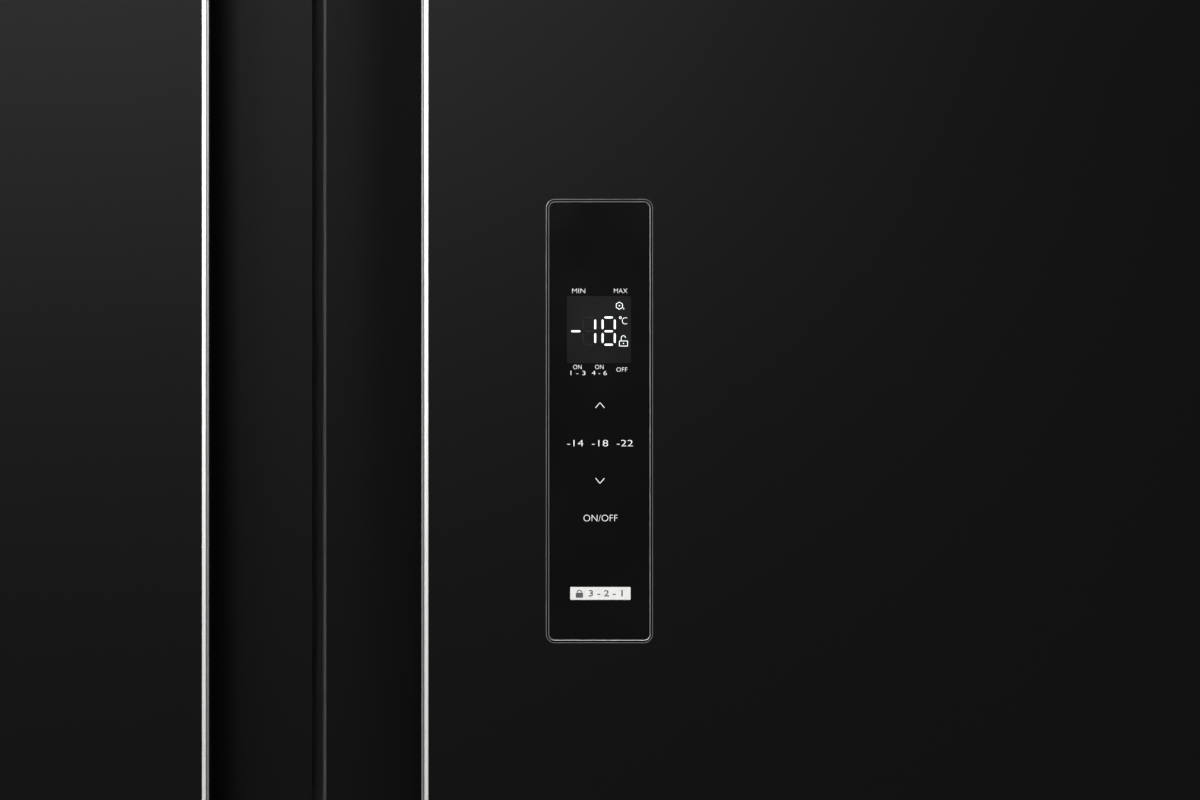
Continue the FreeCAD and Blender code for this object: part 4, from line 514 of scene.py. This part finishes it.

# Bright strips: an aluminium section on the lip of each door, with a fine bead, a groove
# and a broad bead. It is drawn and polished along its length. Its colour is darkened in
# the groove and on the fine bead, which is painted shade.
strip_tones = (0.03, 0.03, 0.03), (0.75, 0.75, 0.74)
along_z = 900.0, 900.0, 3.0
split_x = -0.0525
fine_bead_to, groove_from, groove_to = 0.0457, 0.04568, 0.04622
bright, at, feed = finish("bright_strip", Metallic=1.0)
pulled = at.node("ShaderNodeMapping", {}, {"Vector": at, "Scale": along_z}).grain(1.0, 2.0)
reach = abs(at.node("ShaderNodeSeparateXYZ", {}, {"Vector": at}) - split_x)
# Painted shade: the colour is darkened in the groove and on the fine bead.
groove_shade = (reach > groove_from) * (reach < groove_to)
fine_bead_shade = reach < fine_bead_to
polish_and_shade = (1 - 0.82 * groove_shade) * (1 - 0.66 * fine_bead_shade) * (0.84 + 0.16 * pulled)
feed("Base Color", polish_and_shade.shades(*strip_tones, 0.0, 1.0))
feed("Roughness", 0.3 + 0.1 * pulled)
bead_round = 20
for node in ("freezer_edge_trim", "fridge_edge_trim"):
    dress(node, bright, bead_round)

# Gaskets: the soft seals round the doors. Each is extruded in black rubber with a bellows
# and a magnet in its pocket, welded at the corners, and pushed into the door liner.
seal_black = (0.030, 0.030, 0.031), (0.046, 0.046, 0.047)
seal, at, feed = finish("gasket_rubber", Specular_IOR_Level=0.3)
chalk = at.grain(55, 4.0)
feed("Base Color", chalk.shades(*seal_black))
feed("Roughness", 0.56 + 0.18 * chalk)
for node in ("freezer_door_gasket", "fridge_door_gasket"):
    dress(node, seal)

# Panel bezel: the narrow frame of the touch panel, snapped into the cut-out of the fridge
# door's skin. It is moulded in gloss black, and its rounded rims are given a bright metal finish as a
# painted highlight.
bezel_black = (0.0016, 0.0016, 0.0016), (0.0026, 0.0026, 0.0026)
highlight_grey = (0.40, 0.40, 0.40), (0.52, 0.52, 0.52)
panel_round, rim_edge = 10, 0.0002
rim, at, feed = finish("bezel_black", Specular_IOR_Level=0.12)
turn = at.grain(300, 2.0)
feed("Base Color", turn.shades(*bezel_black))
feed("Roughness", 0.12 + 0.06 * turn)
# Painted highlight: the bevel faces of the rims are bright metal, for the glints of the glossy black
# rims.
glint, at, feed = finish("painted_highlight_edge", Metallic=0.85)
rolled = at.grain(120, 2.0)
feed("Base Color", rolled.shades(*highlight_grey))
feed("Roughness", 0.3 + 0.06 * rolled)
dress("panel_bezel", rim, panel_round, rim_edge, glint)

# Panel lens: the touch surface, a pane of acrylic tinted nearly black and taped into the
# bezel. Fingers leave it a little duller in places.
lens_black = (0.0008, 0.0008, 0.0009), (0.0018, 0.0018, 0.0019)
lens_edge = 0.0003
tinted, at, feed = finish("tinted_lens", Specular_IOR_Level=0.11)
finger = at.grain(26, 4.0)
feed("Base Color", finger.shades(*lens_black))
feed("Roughness", 0.06 + 0.14 * finger)
dress("panel_lens", tinted, panel_round, lens_edge)

# Display board and housing: the circuit board behind the lens, with its etched tracks
# under green lacquer, clipped into a black moulded tub that keeps the foam away from it.
lacquer_green = (0.020, 0.075, 0.035), (0.010, 0.045, 0.022)
board, at, feed = finish("circuit_board", Specular_IOR_Level=0.5)
tracks = at.node("ShaderNodeTexVoronoi", {"feature": "DISTANCE_TO_EDGE"}, {"Vector": at, "Scale": 240.0})
feed("Base Color", tracks.shades(*lacquer_green, 0.02, 0.06))
feed("Roughness", 0.34 + 0.3 * tracks)
dress("display_board", board)
dress("panel_housing", black)

# Display window: the patch of the lens that is left clear, so that the grey display shows
# through. It is a film on the lens, as all the marks are. Their places are in pixels of
# the photograph, each 0.423 mm wide at the door front, from the middle of its view.
pixel = 0.000423
middle_px, middle_py = 600, 400
view_x, view_z = 0.0681, 1.1889
film_thick = 0.00005
lens_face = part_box("panel_lens")[0].y
film_face = lens_face
drawn_marks = []


def on_lens(px, py):
    """Where a pixel of the photograph lies on the lens."""
    return view_x + (px - middle_px) * pixel, film_face, view_z - (py - middle_py) * pixel


def keep_mark(piece, turned=0.0):
    """Settles a flat mark on the lens: thickness added, place moved into its mesh."""
    piece.rotation_euler = (radians(90), turned, 0)
    bpy.ops.object.transform_apply(location=True, rotation=True, scale=True)
    bpy.ops.object.mode_set(mode="EDIT")
    bpy.ops.mesh.select_all(action="SELECT")
    bpy.ops.mesh.extrude_region_move(TRANSFORM_OT_translate={"value": (0, -film_thick, 0)})
    bpy.ops.mesh.select_all(action="SELECT")
    bpy.ops.mesh.normals_make_consistent(inside=False)
    bpy.ops.object.mode_set(mode="OBJECT")
    drawn_marks.append(piece)


def bar(px, py, wide, high, turned=0.0, cut=0.5):
    """A bar mark, its corners cut by that share of its width, in photograph pixels."""
    just_short = 0.96
    bpy.ops.object.select_all(action="DESELECT")
    bpy.ops.mesh.primitive_plane_add(size=1, location=on_lens(px, py))
    piece = bpy.context.active_object
    piece.scale = (wide * pixel, high * pixel, 1)
    bpy.ops.object.transform_apply(location=False, rotation=False, scale=True)
    bpy.ops.object.mode_set(mode="EDIT")
    bpy.ops.mesh.select_all(action="SELECT")
    bpy.ops.mesh.bevel(offset=cut * pixel * min(wide, high) * just_short, affect="VERTICES")
    bpy.ops.object.mode_set(mode="OBJECT")
    keep_mark(piece, turned)


def settle_marks(name, material):
    """Joins the marks drawn so far into one piece of the fridge door."""
    weld_under = 0.0000005
    piece = join_pieces(name, drawn_marks, material)
    bpy.ops.object.mode_set(mode="EDIT")
    bpy.ops.mesh.select_all(action="SELECT")
    bpy.ops.mesh.remove_doubles(threshold=weld_under)
    bpy.ops.object.mode_set(mode="OBJECT")
    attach(piece, "fridge_door")
    drawn_marks.clear()


window_grey = (0.0046, 0.0046, 0.0048), (0.0062, 0.0062, 0.0064)
window_at, window_wide, window_high = (599, 329.5), 64, 67
smoke, at, feed = finish("display_window", Specular_IOR_Level=0.145)
haze = at.grain(60, 3.0)
feed("Base Color", haze.shades(*window_grey))
feed("Roughness", 0.16 + 0.1 * haze)
bar(*window_at, window_wide, window_high, cut=0.02)
settle_marks("display_window", smoke)


# Lit segments: a minus, a one and an eight of the diode display, and the signs beside
# them: degrees, a padlock and a hexagon for the fan. Each is a slot in the black mask of
# the display, lit white from behind.
def ring(px, py, across, line, sides, part=1.0):
    """A ring mark, or the upper part of one, in photograph pixels."""
    bpy.ops.object.select_all(action="DESELECT")
    bpy.ops.mesh.primitive_circle_add(
        vertices=sides, radius=across * pixel / 2, fill_type="NGON", location=on_lens(px, py))
    piece = bpy.context.active_object
    bpy.ops.object.mode_set(mode="EDIT")
    bpy.ops.mesh.select_all(action="SELECT")
    bpy.ops.mesh.inset(thickness=line * pixel)
    bpy.ops.mesh.delete(type="FACE")
    if part < 1.0:
        bpy.ops.mesh.select_all(action="SELECT")
        bpy.ops.mesh.bisect(
            plane_co=piece.location + Vector((0, (0.5 - part) * across * pixel, 0)),
            plane_no=(0, 1, 0), clear_inner=True)
    bpy.ops.object.mode_set(mode="OBJECT")
    keep_mark(piece)


def letters(words, px, py, cap, wide, thin):
    """Printed figures of that cap height and width, thinned at their edges, in photograph pixels."""
    cap_share, curve_steps = 0.69, 3
    bpy.ops.object.select_all(action="DESELECT")
    bpy.ops.object.text_add(location=on_lens(px, py))
    piece = bpy.context.active_object
    piece.data.body = words
    piece.data.align_x = "CENTER"
    piece.data.align_y = "CENTER"
    piece.data.size = cap * pixel / cap_share
    piece.data.resolution_u = curve_steps
    piece.data.offset = -thin * pixel
    bpy.ops.object.convert(target="MESH")
    piece = bpy.context.active_object
    piece.scale.x = wide * pixel / piece.dimensions.x
    bpy.ops.object.transform_apply(location=False, rotation=False, scale=True)
    keep_mark(piece)


lit_white = (0.75, 0.76, 0.77), (0.82, 0.83, 0.84)
lit_glow = (0.80, 0.83, 0.86), (0.95, 0.97, 1.0)
lit, at, feed = finish("lit_segment", Roughness=0.4, Emission_Strength=1.0)
glow = at.grain(900, 2.0)
feed("Base Color", glow.shades(*lit_white))
feed("Emission Color", glow.shades(*lit_glow))
film_face = lens_face - film_thick
segment, upright, level = 1.8, 10.0, 8.8
rows, halves = (317.4, 331.2, 344.6), (324.3, 338.0)
minus_x, minus_wide = 575.8, 9.6
one_x, eight_left, eight_x, eight_right = 595.2, 602.6, 608.7, 614.8
bar(minus_x, rows[1], minus_wide, segment)
for side in (one_x, eight_left, eight_right):
    for height in halves:
        bar(side, height, segment, upright)
for height in rows:
    bar(eight_x, height, level, segment)
line = 0.5
unit_at, unit_cap, unit_wide, unit_thin = (624.6, 321.2), 7.2, 5.2, 0.26
degree_at, degree_wide = (620.4, 317.6), 2.6
letters("C", *unit_at, unit_cap, unit_wide, unit_thin)
ring(*degree_at, degree_wide, line, sides=16)
lock_x, lock_y, lock_wide, lock_high, keyhole = 623.5, 343.4, 8.6, 5.4, 1.2
lock_rows, lock_sides = (346.0, 340.9), (619.4, 627.6)
leg_at, leg_high, shackle_at, shackle_wide = (621.2, 339.4), 3.2, (623.4, 337.9), 4.9
for height in lock_rows:
    bar(lock_x, height, lock_wide, line)
for side in lock_sides:
    bar(side, lock_y, line, lock_high)
bar(lock_x, lock_y, keyhole, keyhole)
bar(*leg_at, line, leg_high)
ring(*shackle_at, shackle_wide, line, sides=20, part=0.5)
hexagon_at, hexagon_wide, hub, tail_at, tail_high = (619.4, 305.6), 7.8, 1.5, (623.8, 308.6), 2.0
ring(*hexagon_at, hexagon_wide, line, sides=6)
bar(*hexagon_at, hub, hub)
bar(*tail_at, line, tail_high)
settle_marks("lit_segments", lit)

# Unlit segments: the figure between the minus and the one, which is off. Its slots in the
# display's mask are just lighter than the grey round them.
unlit_grey = (0.0076, 0.0076, 0.0078), (0.0092, 0.0092, 0.0094)
figure_left, figure_x = 583.2, 589.2
ghost, at, feed = finish("unlit_segment", Roughness=0.3, Specular_IOR_Level=0.145)
feed("Base Color", at.grain(500, 2.0).shades(*unlit_grey))
for height in halves:
    bar(figure_left, height, segment, upright)
for height in rows:
    bar(figure_x, height, level, segment)
settle_marks("unlit_segments", ghost)

# Touch marks: the arrows and the plain words and figures above and below the display. They
# are screen printed in white ink on the lens, and faintly lit from behind.
ink_white = (0.66, 0.66, 0.66), (0.76, 0.76, 0.76)
ink_glow = (0.80, 0.81, 0.82), (0.92, 0.93, 0.94)
ink, at, feed = finish("white_ink", Roughness=0.5, Emission_Strength=0.3)
cover = at.grain(1500, 2.0)
feed("Base Color", cover.shades(*ink_white))
feed("Emission Color", cover.shades(*ink_glow))
film_face = lens_face
arrow_x, arrow_half, stroke_long, stroke, slope = 600, 2.2, 7.0, 0.68, 50
arrow_up_y, arrow_down_y = 405.2, 480.8
for middle, way in ((arrow_up_y, 1), (arrow_down_y, -1)):
    for side in (-1, 1):
        lean = radians(side * way * slope)
        bar(arrow_x + side * arrow_half, middle, stroke_long, stroke, lean, cut=0.2)
for words, px, py, cap, wide, thin in (
    ("MIN", 578.7, 291, 4.8, 13, 0.1),
    ("MAX", 620.5, 291, 4.8, 13.5, 0.1),
    ("ON", 577.4, 367.2, 4.4, 8.5, 0.06),
    ("1 - 3", 577.4, 373.2, 4.4, 15, 0.04),
    ("ON", 599.4, 367.2, 4.4, 8.5, 0.06),
    ("4 - 6", 599.4, 373.2, 4.4, 15, 0.04),
    ("OFF", 621.8, 369.8, 4.4, 11, 0.06),
    ("-14  -18  -22", 600, 443.6, 6.6, 66, 0.1),
    ("ON/OFF", 600.4, 518.6, 6.8, 34, 0.16),
):
    letters(words, px, py, cap, wide, thin)
settle_marks("touch_marks", ink)

# Lock bar: the white plate at the foot of the panel that is held to lock the keys. It is
# screen printed in two passes of white, and so it is denser than the marks.
bar_white = (0.58, 0.58, 0.57), (0.66, 0.66, 0.65)
bar_glow = (0.85, 0.85, 0.84), (0.92, 0.92, 0.91)
bar_at, bar_wide, bar_high = (600.4, 593.6), 60.4, 12.8
label, at, feed = finish("white_bar", Roughness=0.45, Emission_Strength=0.12)
patchy = at.grain(400, 3.0)
feed("Base Color", patchy.shades(*bar_white))
feed("Emission Color", patchy.shades(*bar_glow))
bar(*bar_at, bar_wide, bar_high, cut=0.04)
settle_marks("lock_bar", label)

# Lock mark: a padlock and the seconds that the bar is held, counted down. They are printed
# over the white in dark grey ink.
ink_grey = (0.060, 0.060, 0.062), (0.085, 0.085, 0.088)
count_at, count_cap, count_wide, count_thin = (606.5, 593.8), 6.2, 34, -0.1
case_at, case_wide, case_high = (579.4, 595.4), 7.2, 5.0
bow_at, bow_wide, bow_line = (579.4, 592.6), 5.4, 0.95
dark, at, feed = finish("dark_ink", Roughness=0.5)
feed("Base Color", at.grain(900, 2.0).shades(*ink_grey))
film_face = lens_face - film_thick
letters("3 - 2 - 1", *count_at, count_cap, count_wide, count_thin)
bar(*case_at, case_wide, case_high, cut=0.1)
ring(*bow_at, bow_wide, bow_line, sides=20, part=0.5)
settle_marks("lock_mark", dark)

# Floor: a plain pale studio floor, wide enough that no view shows its edge. It isn't part
# of the object.
floor_pale = (0.70, 0.70, 0.69), (0.73, 0.73, 0.72)
bpy.ops.object.select_all(action="DESELECT")
bpy.ops.mesh.primitive_plane_add(size=160.0, location=(0, 0, 0))
floor = bpy.context.active_object
floor.name = "floor"
pale, at, feed = finish("pale_floor", Specular_IOR_Level=0.2)
speck = at.grain(40, 3.0)
feed("Base Color", speck.shades(*floor_pale))
feed("Roughness", 0.6 + 0.1 * speck)
floor.data.materials.append(pale)

# Room light: an even grey round the object that is a little lighter overhead, as a white
# ceiling gives it.
wall_low, wall_high, ceiling = (0.41,) * 3, (0.43,) * 3, (0.66,) * 3
room = bpy.data.worlds.new("room")
bpy.context.scene.world = room
room.use_nodes = True
around = Sock(room.node_tree.nodes.new("ShaderNodeTexCoord").outputs["Generated"])
up = around.node("ShaderNodeSeparateXYZ", {}, {"Vector": around}, 2)
sky = up.node("ShaderNodeValToRGB", {
    "stops": [(0.0, wall_low), (0.3, wall_high), (1.0, ceiling)]}, {"Fac": up})
room.node_tree.links.new(sky.out, room.node_tree.nodes["Background"].inputs["Color"])

# Lamps: soft rectangles. The key lamp, high in front and to the left, gives the door its
# fall of tone from the top left. The others fill the top, the sides and the back.
for name, place, aim, wide, high, watts in (
    ("key", (-0.8, -3.7, 2.2), (0, -0.3, 1.1), 2.0, 0.9, 61),
    ("overhead", (0.1, -1.0, 3.9), (0, -0.5, 1.0), 2.6, 1.4, 28),
    ("left_strip", (-2.7, -1.0, 1.75), (0, -0.35, 1.2), 0.45, 1.5, 15),
    ("right_strip", (2.6, -2.1, 2.2), (0, -0.35, 1.1), 0.7, 1.6, 17),
    ("back", (1.0, 3.4, 3.2), (0, 0, 0.9), 2.4, 2.4, 40),
):
    bpy.ops.object.light_add(type="AREA", location=place)
    light = bpy.context.active_object
    light.name = name
    light.data.shape = "RECTANGLE"
    light.data.size = wide
    light.data.size_y = high
    light.data.energy = watts
    drop = light.location - Vector(aim)
    light.rotation_euler = drop.to_track_quat("Z", "Y").to_euler()

# Camera: square to the fridge door and close to it, at the height of the touch panel, which
# it has in the middle of its view as the photograph does.
door_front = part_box("fridge_door_skin")[0].y
stand_off, seen_wide, sensor_wide, far_end = 1.3, 0.508, 36.0, 60.0
bpy.ops.object.camera_add(
    location=(view_x, door_front - stand_off, view_z), rotation=(radians(90), 0, 0))
camera = bpy.context.active_object
camera.data.sensor_width = sensor_wide
camera.data.lens = sensor_wide * stand_off / seen_wide
camera.data.clip_end = far_end
bpy.context.scene.camera = camera
bpy.context.scene.view_settings.view_transform = "Standard"
